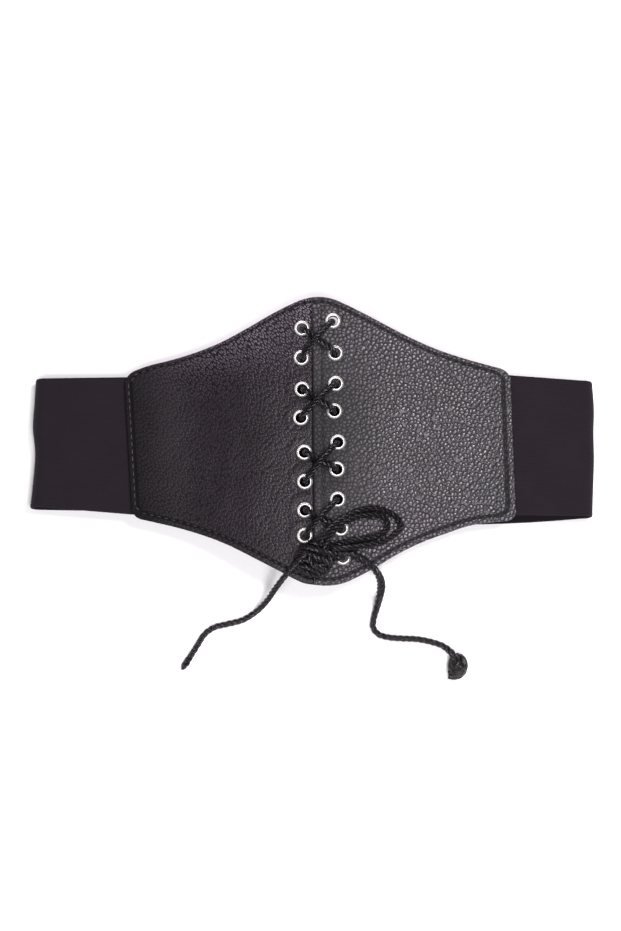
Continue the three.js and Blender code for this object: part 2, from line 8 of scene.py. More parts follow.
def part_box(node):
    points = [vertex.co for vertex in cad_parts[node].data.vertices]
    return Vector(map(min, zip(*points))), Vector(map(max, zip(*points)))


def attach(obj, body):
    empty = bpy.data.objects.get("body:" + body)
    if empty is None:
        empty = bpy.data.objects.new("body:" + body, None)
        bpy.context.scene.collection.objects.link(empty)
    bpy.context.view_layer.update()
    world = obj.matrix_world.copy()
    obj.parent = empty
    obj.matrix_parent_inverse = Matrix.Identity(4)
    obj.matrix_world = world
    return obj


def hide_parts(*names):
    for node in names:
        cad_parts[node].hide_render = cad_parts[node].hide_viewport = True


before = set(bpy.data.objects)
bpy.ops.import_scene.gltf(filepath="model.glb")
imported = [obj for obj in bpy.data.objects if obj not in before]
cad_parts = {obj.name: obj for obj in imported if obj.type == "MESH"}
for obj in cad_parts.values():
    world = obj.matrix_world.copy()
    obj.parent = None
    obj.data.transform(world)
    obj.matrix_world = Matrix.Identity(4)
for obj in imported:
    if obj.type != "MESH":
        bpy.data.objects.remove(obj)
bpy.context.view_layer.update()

bl_info = {
    "name": "Corset Belt",
    "version": (1, 0, 0),
    "blender": (4, 5, 0),
    "location": "View3D > Sidebar > Belt",
    "description": "Makes the leather front, elastic, eyelets, lace and stitching of a corset belt",
    "category": "Object",
}

# The front's shape, as the solids have it but for its lower edge and the right outer edge
FRONT_HEIGHT = 0.1697
PEAKS = {1: 0.08485, -1: 0.0856}
PEAK_X = {1: 0.0043, -1: 0.0075}
SEAM_TOP_X = -0.0005
SEAM_BOTTOM_X = 0.0011
CREST_X = 0.005
CREST_HALF_WIDTH = 0.024
ARCH_RISE = 0.009
PANEL_EDGE_Z = 0.0136
CREST_Z = PANEL_EDGE_Z + ARCH_RISE
CORNER_RADIUS = 0.006
CLEARANCE = 0.0003
SLOPE_STEP = 0.0005
TILT_STEP = 0.00001

# Each panel, with reach, corner height and hem share at its top (1) and bottom (-1)
SIDES = {
    "left": {
        "sign": -1, "reach": {1: 0.1104, -1: 0.1054}, "corner": {1: 0.0401, -1: 0.0446},
        "foot": 0.0914, "outer_stitch": 0.0024, "outer_groove": 0.0038, "line_width": 0.00034,
        "swell": (0.00008, 0.001), "hems": {1: 0.9, -1: 1.4},
    },
    "right": {
        "sign": 1, "reach": {1: 0.1164, -1: 0.1182}, "corner": {1: 0.0421, -1: 0.0464},
        "foot": 0.1009, "outer_stitch": 0.0049, "outer_groove": 0.0049, "line_width": 0.00045,
        "swell": (0.0003, 0.001), "hems": {1: 1.13, -1: 1.37},
    },
}

# From a peak outwards: the share of the way, and the share of the rise that is left there
OUTLINE_ALONG = (0, 0.06, 0.12, 0.25, 0.37, 0.5, 0.62, 0.75, 0.88, 1)
OUTLINE_SHARES = {
    ("left", 1): (1, 0.985, 0.935, 0.765, 0.588, 0.418, 0.302, 0.203, 0.118, 0),
    ("right", 1): (1, 0.975, 0.912, 0.738, 0.572, 0.41, 0.287, 0.183, 0.088, 0),
    ("left", -1): (1, 0.988, 0.957, 0.775, 0.601, 0.415, 0.278, 0.161, 0.072, 0),
    ("right", -1): (1, 0.986, 0.933, 0.744, 0.537, 0.348, 0.214, 0.085, 0.025, 0),
}

# Forms pressed into the leather: how far each stands off the face, and its half width
HEM_GROOVE = (-0.0007, 0.00045)
HEM_ROLL = (0.00018, 0.0008)
SEAM_GROOVE = (-0.00025, 0.0006)
SEAM_VALLEY = (-0.0006, 0.0012)
EYELET_DISH = (-0.0003, 0.0011)
EYELET_RING = (0.00022, 0.0016)
STRIP_HEIGHT = 0.00045
STRIP_WIDTH = 0.0056
STRIP_STEP = 0.0009
RIM_ROUNDING = 0.001
HOLE_RADIUS = 0.0037
SEAM_SLIT = 0.00004

# Grain of each panel, drawn out by the stretch along a line at the turn
LEATHER_LOOKS = {
    "left": {"pebble": 0.00118, "depth": 0.00032, "roughness": 0.33, "shine": 0.24,
             "stretch": 0.48, "turn": 0.85},
    "right": {"pebble": 0.0023, "depth": 0.00045, "roughness": 0.33, "shine": 0.56,
              "stretch": 0.95, "turn": 0.0},
}

# The elastic's run, as the solids have it
FOLD_X = 0.1582
FOLD_RADIUS = 0.0055
FOLD_WANDER = 0.0014
FRONT_MIDDLE_Z = 0.01165
CLASP_HALF_WIDTH = 0.013
CLASP_HALF_WEB = 0.003
CLASP_ENTRY = 0.005
CLASP_RISE = 0.016
CLASP_MIDDLE_Z = 0.002
CLASP_SLOT = (0.1, 0.0019)
ELASTIC_WIDTH = 0.0808
ELASTIC_EDGES = {
    "left": {"top": (0.0393, 0.0384, 0.0372), "bottom": (0.0438, 0.0382, 0.0391)},
    "right": {"top": (0.0414, 0.037, 0.0355), "bottom": (0.0428, 0.0434, 0.0474)},
}
FOLD_UP = (0, 0.2, 0.42, 0.62, 0.8, 1)
FOLD_SHARES = {
    "left": (0.5, -0.45, -1.1, 0.1, -0.3, -0.8),
    "right": (-0.8, -0.2, 0.45, 0.5, 0.9, 0.3),
}

# The lace: length of a ring of its mesh, corners and cloth width round a strand, and its threads
LACE_STEP = 0.0007
LACE_SIDES = 9
STRAND_GIRTH = 0.0027
FIBRE_PITCH = 0.0006
LACE_BEND = 0.0036
LACE_LEAN = 0.0006
LACE_MOUTH = 0.0016
STOP_KNOT_COLOUR = (0.0066, 0.005, 0.0044)

# The lace's loose stretches, from the knot outwards
LEFT_END = (
    (-0.0039, -0.0681, 0.0306), (-0.0059, -0.0699, 0.0302), (-0.0084, -0.0724, 0.029),
    (-0.0121, -0.076, 0.0266), (-0.0164, -0.0809, 0.0253), (-0.0192, -0.0842, 0.0232),
    (-0.022, -0.0874, 0.0186), (-0.0269, -0.0932, 0.0094), (-0.033, -0.0985, 0.0034),
    (-0.0407, -0.1031, 0.0019), (-0.0496, -0.1055, 0.0018), (-0.0576, -0.1076, 0.0018),
    (-0.0629, -0.1116, 0.0018), (-0.0662, -0.1168, 0.0018), (-0.0689, -0.1212, 0.0018),
    (-0.0712, -0.1248, 0.0018),
)
RIGHT_END = (
    (0.0118, -0.0674, 0.0276), (0.0145, -0.0677, 0.0272), (0.0176, -0.0677, 0.0269),
    (0.0216, -0.0678, 0.0265), (0.0264, -0.0693, 0.0258), (0.0312, -0.0722, 0.0256),
    (0.0351, -0.076, 0.0249), (0.038, -0.0798, 0.0214), (0.0395, -0.084, 0.0148),
    (0.0389, -0.0894, 0.007), (0.0373, -0.0958, 0.0026), (0.0354, -0.103, 0.0018),
    (0.0352, -0.1076, 0.0018), (0.0382, -0.1114, 0.0018), (0.0439, -0.1132, 0.0018),
    (0.0521, -0.1139, 0.0018), (0.0605, -0.1143, 0.0018), (0.0688, -0.1159, 0.0018),
    (0.0756, -0.1183, 0.0018), (0.0796, -0.1214, 0.0024), (0.0822, -0.1246, 0.004),
)
OUTER_LOOP = (
    (0.0038, -0.0613, 0.0314), (0.0064, -0.0579, 0.032), (0.0097, -0.0536, 0.0314),
    (0.014, -0.0496, 0.0296), (0.02, -0.0457, 0.0274), (0.0289, -0.0419, 0.0257),
    (0.0364, -0.0411, 0.0255), (0.0439, -0.0433, 0.0249), (0.0494, -0.0474, 0.0242),
    (0.0508, -0.0518, 0.0241), (0.0473, -0.0561, 0.0245), (0.0413, -0.0599, 0.0251),
    (0.0338, -0.062, 0.0257), (0.0238, -0.0639, 0.028), (0.0146, -0.0652, 0.0312),
    (0.0112, -0.0653, 0.0316),
)
INNER_LOOP = (
    (0.0067, -0.0621, 0.028), (0.0091, -0.0585, 0.0286), (0.0125, -0.0544, 0.0288),
    (0.0175, -0.0501, 0.0282), (0.0237, -0.0468, 0.027), (0.03, -0.0453, 0.0262),
    (0.0364, -0.0451, 0.0257), (0.041, -0.0467, 0.0253), (0.0431, -0.0498, 0.025),
    (0.042, -0.0539, 0.0251), (0.0376, -0.0568, 0.0254), (0.0296, -0.0589, 0.0258),
    (0.022, -0.0601, 0.0274), (0.014, -0.0622, 0.0278), (0.011, -0.0632, 0.0276),
)

# Turns of the two knots, over their soft middles
BOW_KNOT_MIDDLE = {"at": (0.0036, -0.0696, 0.0274), "size": (0.0148, 0.0158, 0.0072)}
BOW_KNOT_TURNS = (
    ((-0.0056, -0.0628, 0.0258), (-0.0044, -0.0636, 0.0286), (-0.0012, -0.0648, 0.031),
     (0.0042, -0.0666, 0.0332), (0.0096, -0.0684, 0.0316), (0.0118, -0.0695, 0.0284),
     (0.0122, -0.0702, 0.0262)),
    ((-0.0076, -0.0672, 0.0264), (-0.0056, -0.0666, 0.0278), (-0.0024, -0.0675, 0.0294),
     (0.0004, -0.0688, 0.0312), (0.0044, -0.0712, 0.0322), (0.0082, -0.0738, 0.0302),
     (0.0098, -0.0752, 0.0272)),
    ((-0.0079, -0.071, 0.0264), (-0.0056, -0.0707, 0.028), (-0.0026, -0.0717, 0.0296),
     (0.0004, -0.0732, 0.0306), (0.004, -0.0754, 0.0306), (0.0072, -0.0774, 0.0284),
     (0.0082, -0.0782, 0.0266)),
    ((-0.007, -0.0747, 0.0264), (-0.005, -0.0746, 0.0276), (-0.0018, -0.0758, 0.0286),
     (0.0016, -0.0774, 0.0288), (0.0046, -0.0784, 0.0274)),
    ((0.0098, -0.0618, 0.0276), (0.0086, -0.063, 0.0306), (0.0072, -0.0652, 0.0314),
     (0.0086, -0.0694, 0.03), (0.0106, -0.073, 0.0276)),
    ((-0.0016, -0.0606, 0.0268), (0.0012, -0.0614, 0.0296), (0.0052, -0.0626, 0.0306),
     (0.009, -0.0644, 0.0302)),
    ((-0.0027, -0.0645, 0.0268), (-0.0065, -0.0658, 0.0266), (-0.0087, -0.0692, 0.0264),
     (-0.0079, -0.0738, 0.0264), (-0.0047, -0.0773, 0.0264), (-0.0002, -0.0794, 0.0262),
     (0.0047, -0.0797, 0.0259)),
    ((-0.0013, -0.0695, 0.0304), (-0.0007, -0.0727, 0.0312), (0.0013, -0.0751, 0.0316),
     (0.0047, -0.0758, 0.0306), (0.0076, -0.0745, 0.029)),
)
STOP_KNOT_MIDDLE = {"at": (0.0837, -0.1298, 0.0042), "size": (0.0112, 0.0134, 0.0072)}
STOP_KNOT_TURNS = (
    ((0.0818, -0.125, 0.0024), (0.0806, -0.1274, 0.0052), (0.0824, -0.1306, 0.0072),
     (0.086, -0.131, 0.0062), (0.0878, -0.1286, 0.0036)),
    ((0.0836, -0.124, 0.0036), (0.0862, -0.1256, 0.0066), (0.0878, -0.129, 0.0062),
     (0.0876, -0.1318, 0.0032)),
    ((0.0822, -0.1248, 0.0042), (0.0836, -0.1264, 0.0074), (0.0836, -0.1292, 0.0082),
     (0.0822, -0.1322, 0.0056), (0.0818, -0.1334, 0.0028)),
    ((0.0874, -0.1298, 0.0026), (0.0872, -0.1332, 0.0022), (0.0844, -0.1356, 0.0019),
     (0.0812, -0.1361, 0.0018), (0.0786, -0.1356, 0.0018)),
    ((0.0846, -0.1328, 0.0034), (0.0814, -0.1334, 0.0036), (0.0788, -0.1336, 0.0024)),
)

# The photo's view, and the lights as name, place, size, power and colour
CAMERA_TARGET = (-0.0013, -0.01515, 0.02)
CAMERA_ELEVATION = 80
CAMERA_DISTANCE = 1.3
CAMERA_LENS = 86.67
LIGHTS = (
    ("key_right", (0.42, 0.24, 1.0), 0.3, 10.4, (1, 0.94, 1)),
    ("front", (0.2, -0.7, 1.5), 0.5, 18.5, (1, 0.98, 1)),
    ("left", (-0.5, -0.75, 1.45), 0.5, 7, (1, 0.96, 1)),
)
LIGHT_AIM = (0.02, -0.01, 0.02)
WORLD_STRENGTH = 0.2


def length_property(label, text, value):
    return bpy.props.FloatProperty(
        name=label, description=text, default=value, subtype="DISTANCE", unit="LENGTH")


def colour_property(label, text, value):
    return bpy.props.FloatVectorProperty(
        name=label, description=text, default=value, subtype="COLOR", size=3, min=0, max=1)


class BeltSizes(bpy.types.PropertyGroup):
    """Sizes of the belt's finish"""
    leather_thickness: length_property(
        "Leather thickness", "Thickness of the leather front with its backing", 0.002)
    hem_stitch: length_property(
        "Hem stitch inset", "From the top and bottom edges to their stitches", 0.0027)
    seam_stitch: length_property(
        "Seam stitch inset", "From the middle seam to the stitches beside it", 0.0056)
    stitch_pitch: length_property(
        "Stitch pitch", "From one stitch to the next", 0.0043)
    thread_width: length_property(
        "Thread width", "Width of the sewing thread", 0.0007)
    elastic_thickness: length_property(
        "Elastic thickness", "Thickness of the elastic webbing", 0.0013)
    lace_diameter: length_property(
        "Lace diameter", "Diameter of the twisted lace", 0.0037)
    lace_lay: length_property(
        "Lace lay", "Length in which a strand of the lace turns once", 0.0105)
    eyelet_bore: length_property(
        "Eyelet bore", "Radius of the hole in an eyelet", 0.00295)
    eyelet_flange: length_property(
        "Eyelet flange", "Radius of an eyelet's rolled rim", 0.0047)


class BeltColours(bpy.types.PropertyGroup):
    """Colours of the belt's finishes"""
    left_leather: colour_property(
        "Left leather", "Base colour of the left panel", (0.0125, 0.0088, 0.0128))
    right_leather: colour_property(
        "Right leather", "Base colour of the right panel", (0.0172, 0.0138, 0.0182))
    lining: colour_property(
        "Lining", "Knitted backing inside the front", (0.03, 0.027, 0.03))
    elastic: colour_property(
        "Elastic", "Base colour of the elastic webbing", (0.0088, 0.0063, 0.0089))
    lace: colour_property(
        "Lace", "Base colour of the lace", (0.005, 0.0038, 0.0052))
    thread: colour_property(
        "Thread", "Base colour of the stitches", (0.008, 0.0066, 0.0082))
    light_thread: colour_property(
        "Light thread", "Base colour of the stitches on the left outer edge", (0.02, 0.018, 0.02))
    nickel: colour_property(
        "Nickel", "Colour of the eyelets", (0.78, 0.77, 0.75))
    clasp: colour_property(
        "Clasp", "Base colour of the back clasp", (0.012, 0.012, 0.012))


def mix(a, b, t):
    return a + (b - a) * t


def ramp(value, start, run):
    """0 up to the start and 1 past the run, straight between."""
    return min(max((value - start) / run, 0), 1)


def curve_weights(t):
    """A cubic's weights of its start, the slope there, its end and the slope there."""
    return (2 * t ** 3 - 3 * t ** 2 + 1, t ** 3 - 2 * t ** 2 + t,
            3 * t ** 2 - 2 * t ** 3, t ** 3 - t ** 2)


def smooth_table(places, values, at, flat_start=False):
    """A smooth value through the points of a table."""
    last = len(places) - 1
    i = 0
    while i < last - 1 and at > places[i + 1]:
        i += 1

    def slope(k):
        a = max(k - 1, 0)
        b = min(k + 1, last)
        return (values[b] - values[a]) / (places[b] - places[a])

    run = places[i + 1] - places[i]
    t = (at - places[i]) / run
    start = 0 if flat_start and i == 0 else slope(i)
    w0, m0, w1, m1 = curve_weights(t)
    return w0 * values[i] + m0 * run * start + w1 * values[i + 1] + m1 * run * slope(i + 1)


def seam_x(y):
    return mix(SEAM_BOTTOM_X, SEAM_TOP_X, 0.5 + y / FRONT_HEIGHT)


def arch_z(x):
    """Height of the leather's middle above the table."""
    side = SIDES["left" if x < CREST_X else "right"]
    run = side["foot"] - side["sign"] * CREST_X - CREST_HALF_WIDTH
    fall = ramp(abs(x - CREST_X), CREST_HALF_WIDTH, run)
    return PANEL_EDGE_Z + ARCH_RISE * math.cos(fall * math.pi / 2) ** 2


def edge_y(x, end):
    """The front's top edge (end 1) or bottom edge (end -1) at x."""
    peak_x = PEAK_X[end]
    name = "left" if x < peak_x else "right"
    side = SIDES[name]
    share = min((x - peak_x) / (side["sign"] * side["reach"][end] - peak_x), 1)
    rise = smooth_table(OUTLINE_ALONG, OUTLINE_SHARES[name, end], share, True)
    return end * mix(side["corner"][end], PEAKS[end], rise)


def edge_slope(x, end):
    return (edge_y(x + SLOPE_STEP, end) - edge_y(x - SLOPE_STEP, end)) / (2 * SLOPE_STEP)


def outer_x(name, y):
    """The panel's outer edge at a height."""
    side = SIDES[name]
    low = CORNER_RADIUS - side["corner"][-1]
    high = side["corner"][1] - CORNER_RADIUS
    t = ramp(y, low, high - low)
    return side["sign"] * mix(side["reach"][-1], side["reach"][1], t)


def rim_distances(name, x, y):
    """Distances into a panel from its top, bottom and outer edges."""
    sign = SIDES[name]["sign"]
    top = (edge_y(x, 1) - y) / math.hypot(1, edge_slope(x, 1))
    bottom = (y - edge_y(x, -1)) / math.hypot(1, edge_slope(x, -1))
    outer = sign * (outer_x(name, y) - x)
    return top, bottom, outer


def rounded_distance(along_edge, across_edge, radius):
    """The nearer of two edges, round a corner between them."""
    if along_edge < radius and across_edge < radius:
        return radius - math.hypot(radius - along_edge, radius - across_edge)
    return min(along_edge, across_edge)


def hem_distance(name, distances, inset):
    """The nearest edge's distance, stretched so that each stitched groove lies at the inset."""
    side = SIDES[name]
    top, bottom, outer = distances
    outer *= inset / side["outer_groove"]
    return min(rounded_distance(outer, top / side["hems"][1], CORNER_RADIUS),
               rounded_distance(outer, bottom / side["hems"][-1], CORNER_RADIUS))


def soft(x, y, size, seed):
    """A smooth wander between about -1 and 1."""
    return noise.noise(Vector((x / size, y / size, seed)))


def eyelet_places():
    places = {}
    for name in SIDES:
        places[name] = []
        for i in range(1, 10):
            low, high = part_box(f"eyelet_{name}_{i}")
            places[name].append(((low[0] + high[0]) / 2, (low[1] + high[1]) / 2))
    return places


def bump_profile(distance, middle, width):
    return math.exp(-((distance - middle) / width) ** 2)


def pressed(form, distance, middle):
    height, width = form
    return height * bump_profile(distance, middle, width)


def panel_relief(name, x, y, sizes, eyelets):
    """How far the leather's face stands off its plain curve, and how thick its edge is."""
    top, bottom, outer = rim_distances(name, x, y)
    rim = min(rounded_distance(outer, top, CORNER_RADIUS),
              rounded_distance(outer, bottom, CORNER_RADIUS))
    inset = sizes.hem_stitch
    hem = hem_distance(name, (top, bottom, outer), inset)
    relief = pressed(HEM_GROOVE, hem, inset)
    relief += pressed(HEM_ROLL, hem, inset * 0.55)
    relief += pressed(SIDES[name]["swell"], hem, inset + 0.0017)
    from_seam = abs(x - seam_x(y))
    if name == "right":
        strip = ramp(STRIP_WIDTH - from_seam, 0, STRIP_STEP)
        relief += STRIP_HEIGHT * strip ** 2 * (3 - 2 * strip)
        relief += pressed(SEAM_GROOVE, from_seam, sizes.seam_stitch)
    else:
        relief += pressed(SEAM_VALLEY, from_seam, 0)
    for ex, ey in eyelets:
        reach = math.hypot(x - ex, y - ey)
        relief += pressed(EYELET_DISH, reach, 0.0053)
        relief += pressed(EYELET_RING, reach, 0.0078)
    inside = ramp(hem, 0, 0.012)
    relief += 0.00042 * inside * soft(x, y, 0.026, 3.1)
    relief += 0.00016 * inside * soft(x, y * 0.6, 0.009, 7.7)
    edge = 1 - min(max(rim, 0.00002), RIM_ROUNDING) / RIM_ROUNDING
    return relief, math.sqrt(1 - edge ** 2)


def panel_shade_and_grain(name, x, y, sizes):
    """How much painted shade darkens a point (0 to 1), in the stitch grooves, along the seam, beside
    the right panel's seam and towards the left panel's outer edge, and how strong its grain is.

    Past 1, the grain's tops are painted pale as well: a painted highlight."""
    distances = rim_distances(name, x, y)
    inset = sizes.hem_stitch
    hem = hem_distance(name, distances, inset)
    # Painted shade in the hem's stitch groove
    painted_shade = bump_profile(hem, inset, SIDES[name]["line_width"])
    from_seam = abs(x - seam_x(y))
    # Painted shadow along the step of the middle seam
    painted_shade += bump_profile(from_seam, 0, 0.0006)
    if name == "right":
        # Painted shade in the seam's stitch groove, then over the raised strip and the leather beside
        # the seam, less towards the peaks
        painted_shade += 0.35 * bump_profile(from_seam, sizes.seam_stitch, 0.0005)
        peak = ramp(abs(y), 0.03, 0.03)
        painted_shade += 0.42 * (1 - ramp(from_seam, 0.01, 0.03)) * (1 - 0.6 * peak)
        calm = mix(0.5, 0.9, peak)
        strength = mix(calm, 1, ramp(from_seam, 0.01, 0.018))
        # Past 1, towards the peaks, the grain's tops are painted pale: a painted highlight
        strength += peak * (0.25 if y > 0 else 0.6)
    else:
        # Painted shade towards the left panel's outer edge
        painted_shade += 0.55 * (1 - ramp(distances[2], 0.004, 0.034))
        # Past 1, towards the top edge, the grain's tops are painted pale: a painted highlight
        strength = mix(0.6, 2.2, ramp(y, 0.02, 0.045) ** 1.5)
    return min(painted_shade, 1), strength * (1 - 0.8 * bump_profile(hem, inset, 0.0005))


def panel_face(name, x, y, sizes, eyelets, face):
    """A point of a panel's outer (face 1) or inner (face -1) side."""
    relief, fullness = panel_relief(name, x, y, sizes, eyelets)
    slope = (arch_z(x + TILT_STEP) - arch_z(x - TILT_STEP)) / (2 * TILT_STEP)
    tilt = Vector((-slope, 0, 1)).normalized()
    stand = sizes.leather_thickness / 2 * fullness
    offset = stand + relief * fullness if face > 0 else -stand
    return Vector((x, y, arch_z(x))) + tilt * offset


def deselect_all():
    for thing in bpy.context.selected_objects:
        thing.select_set(False)


def choose(thing):
    deselect_all()
    thing.select_set(True)
    bpy.context.view_layer.objects.active = thing


def new_mesh(name, points, faces, material):
    mesh = bpy.data.meshes.new(name)
    mesh.from_pydata([tuple(p) for p in points], [], faces)
    mesh.update()
    piece = bpy.data.objects.new(name, mesh)
    bpy.context.scene.collection.objects.link(piece)
    mesh.materials.append(material)
    mesh.polygons.foreach_set("use_smooth", [True] * len(mesh.polygons))
    return piece


def add_uv(piece, places, label="cloth"):
    """Gives each corner the place of its own point."""
    layer = piece.data.uv_layers.new(name=label)
    for loop in piece.data.loops:
        layer.data[loop.index].uv = places[loop.vertex_index]


def settle(piece, slot, *nodes):
    """Hands a finished piece to the frame."""
    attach(piece, "root")
    if nodes:
        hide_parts(*nodes)


def apply_modifier(piece, kind, **values):
    choose(piece)
    modifier = piece.modifiers.new(kind.title(), kind)
    for key, value in values.items():
        setattr(modifier, key, value)
    bpy.ops.object.modifier_apply(modifier=modifier.name)


def cut_away(piece, cutter):
    """Takes a solid's shape out of a piece, and deletes the solid."""
    apply_modifier(piece, "BOOLEAN", object=cutter, operation="DIFFERENCE", solver="EXACT")
    bpy.data.objects.remove(cutter)


def wall(upper, lower):
    """Points and faces of a closed wall between two grids of points, [column][row]."""
    columns = len(upper)
    rows = len(upper[0])
    points = [p for grid in (upper, lower) for column in grid for p in column]

    def at(layer, i, j):
        return layer * columns * rows + i * rows + j

    faces = []
    for i in range(columns - 1):
        for j in range(rows - 1):
            faces.append((at(0, i, j), at(0, i + 1, j), at(0, i + 1, j + 1), at(0, i, j + 1)))
            faces.append((at(1, i, j), at(1, i, j + 1), at(1, i + 1, j + 1), at(1, i + 1, j)))
        faces.append((at(0, i, 0), at(1, i, 0), at(1, i + 1, 0), at(0, i + 1, 0)))
        faces.append((at(0, i, rows - 1), at(0, i + 1, rows - 1), at(1, i + 1, rows - 1),
                      at(1, i, rows - 1)))
    for j in range(rows - 1):
        faces.append((at(0, 0, j), at(0, 0, j + 1), at(1, 0, j + 1), at(1, 0, j)))
        end = columns - 1
        faces.append((at(0, end, j), at(1, end, j), at(1, end, j + 1), at(0, end, j + 1)))
    return points, faces


def smooth_path(points, step):
    """Even points along a centripetal curve through the given ones."""
    p = [Vector(q) for q in points]
    p = [2 * p[0] - p[1]] + p + [2 * p[-1] - p[-2]]
    fine = []
    for k in range(1, len(p) - 2):
        a, b, c, d = p[k - 1:k + 3]
        d0 = math.sqrt((b - a).length)
        d1 = math.sqrt((c - b).length)
        d2 = math.sqrt((d - c).length)
        m1 = ((b - a) / d0 - (c - a) / (d0 + d1) + (c - b) / d1) * d1
        m2 = ((c - b) / d1 - (d - b) / (d1 + d2) + (d - c) / d2) * d1
        count = max(int((c - b).length / step * 6), 6)
        for i in range(count):
            start, start_slope, end, end_slope = curve_weights(i / count)
            fine.append(start * b + start_slope * m1 + end * c + end_slope * m2)
    fine.append(p[-2])
    runs = [0]
    for a, b in zip(fine, fine[1:]):
        runs.append(runs[-1] + (b - a).length)
    count = max(round(runs[-1] / step), 2)
    even = []
    k = 0
    for i in range(count + 1):
        want = runs[-1] * i / count
        while k < len(runs) - 2 and runs[k + 1] < want:
            k += 1
        t = (want - runs[k]) / (runs[k + 1] - runs[k])
        even.append(fine[k].lerp(fine[k + 1], t))
    return even, runs[-1]


def carried_frames(path):
    """Two directions across the path at each point, turning as little as they can."""
    frames = []
    before = None
    across = None
    for i, p in enumerate(path):
        heading = (path[min(i + 1, len(path) - 1)] - path[max(i - 1, 0)]).normalized()
        if across is None:
            across = heading.orthogonal().normalized()
        else:
            across.rotate(before.rotation_difference(heading))
            across = (across - heading * across.dot(heading)).normalized()
        frames.append((across.copy(), heading.cross(across)))
        before = heading
    return frames


def cord_strands(points, sizes, phase, shape, fullness):
    """Points, faces, cloth places, centreline and length of a three-strand twisted lace."""
    path, length = smooth_path(points, LACE_STEP)
    frames = carried_frames(path)
    strand = sizes.lace_diameter * fullness
    offset = sizes.lace_diameter / 2 - strand
    corners = []
    faces = []
    places = []
    for k in range(3):
        start = len(corners)
        for i, (p, (n, b)) in enumerate(zip(path, frames)):
            run = length * i / (len(path) - 1)
            wide, deep, core = shape(i / (len(path) - 1)) if shape else (1, 1, 1)
            turn = phase + 2 * math.pi * (run / sizes.lace_lay + k / 3)
            middle = Vector((math.cos(turn) * offset, math.sin(turn) * offset))
            for j in range(LACE_SIDES):
                angle = turn + 2 * math.pi * (j + k / 3) / LACE_SIDES
                u = middle.x + math.cos(angle) * strand * core
                v = middle.y + math.sin(angle) * strand * core
                corner = p + n * (u * wide) + b * (v * deep)
                corner.z = max(corner.z, 0.00004)
                corners.append(corner)
                places.append((run, STRAND_GIRTH * (j + 3 * k) / LACE_SIDES))
        for i in range(len(path) - 1):
            for j in range(LACE_SIDES):
                a = start + i * LACE_SIDES + j
                b2 = start + i * LACE_SIDES + (j + 1) % LACE_SIDES
                faces.append((a, b2, b2 + LACE_SIDES, a + LACE_SIDES))
        faces.append(tuple(start + j for j in reversed(range(LACE_SIDES))))
        tail = start + (len(path) - 1) * LACE_SIDES
        faces.append(tuple(tail + j for j in range(LACE_SIDES)))
    return corners, faces, places, path, length


def make_cord(name, routes, sizes, material, shape=None, phases=None, fullness=0.25):
    """One mesh of twisted lace along one or more routes."""
    corners = []
    faces = []
    places = []
    for i, route in enumerate(routes):
        phase = phases[i] if phases else 0.9 * i
        c, f, uv, path, length = cord_strands(route, sizes, phase, shape, fullness)
        base = len(corners)
        corners.extend(c)
        faces.extend(tuple(v + base for v in face) for face in f)
        places.extend(uv)
    piece = new_mesh(name, corners, faces, material)
    add_uv(piece, places)
    return piece, path, length


def node_group(name, inputs, outputs):
    """A new shader group with named sockets, and its two end nodes."""
    tree = bpy.data.node_groups.new(name, "ShaderNodeTree")
    for label, kind, value in inputs:
        socket = tree.interface.new_socket(name=label, in_out="INPUT", socket_type=kind)
        if value is not None:
            socket.default_value = value
    for label, kind in outputs:
        tree.interface.new_socket(name=label, in_out="OUTPUT", socket_type=kind)
    return tree, tree.nodes.new("NodeGroupInput"), tree.nodes.new("NodeGroupOutput")


def add_node(tree, kind, links=None, **values):
    """A node with its settings, socket values and incoming links."""
    node = tree.nodes.new(kind)
    for key, value in values.items():
        setattr(node, key, value)
    for key, value in (links or {}).items():
        if isinstance(value, bpy.types.NodeSocket):
            tree.links.new(value, node.inputs[key])
        else:
            node.inputs[key].default_value = value
    return node


def maths(tree, operation, a, b=0.0):
    return add_node(tree, "ShaderNodeMath", {0: a, 1: b}, operation=operation).outputs[0]


def remap(tree, value, low, high, to_low, to_high, smooth=False):
    node = add_node(tree, "ShaderNodeMapRange",
                    {"Value": value, "From Min": low, "From Max": high,
                     "To Min": to_low, "To Max": to_high})
    if smooth:
        node.interpolation_type = "SMOOTHSTEP"
    return node.outputs["Result"]


FLOAT = "NodeSocketFloat"
VECTOR = "NodeSocketVector"


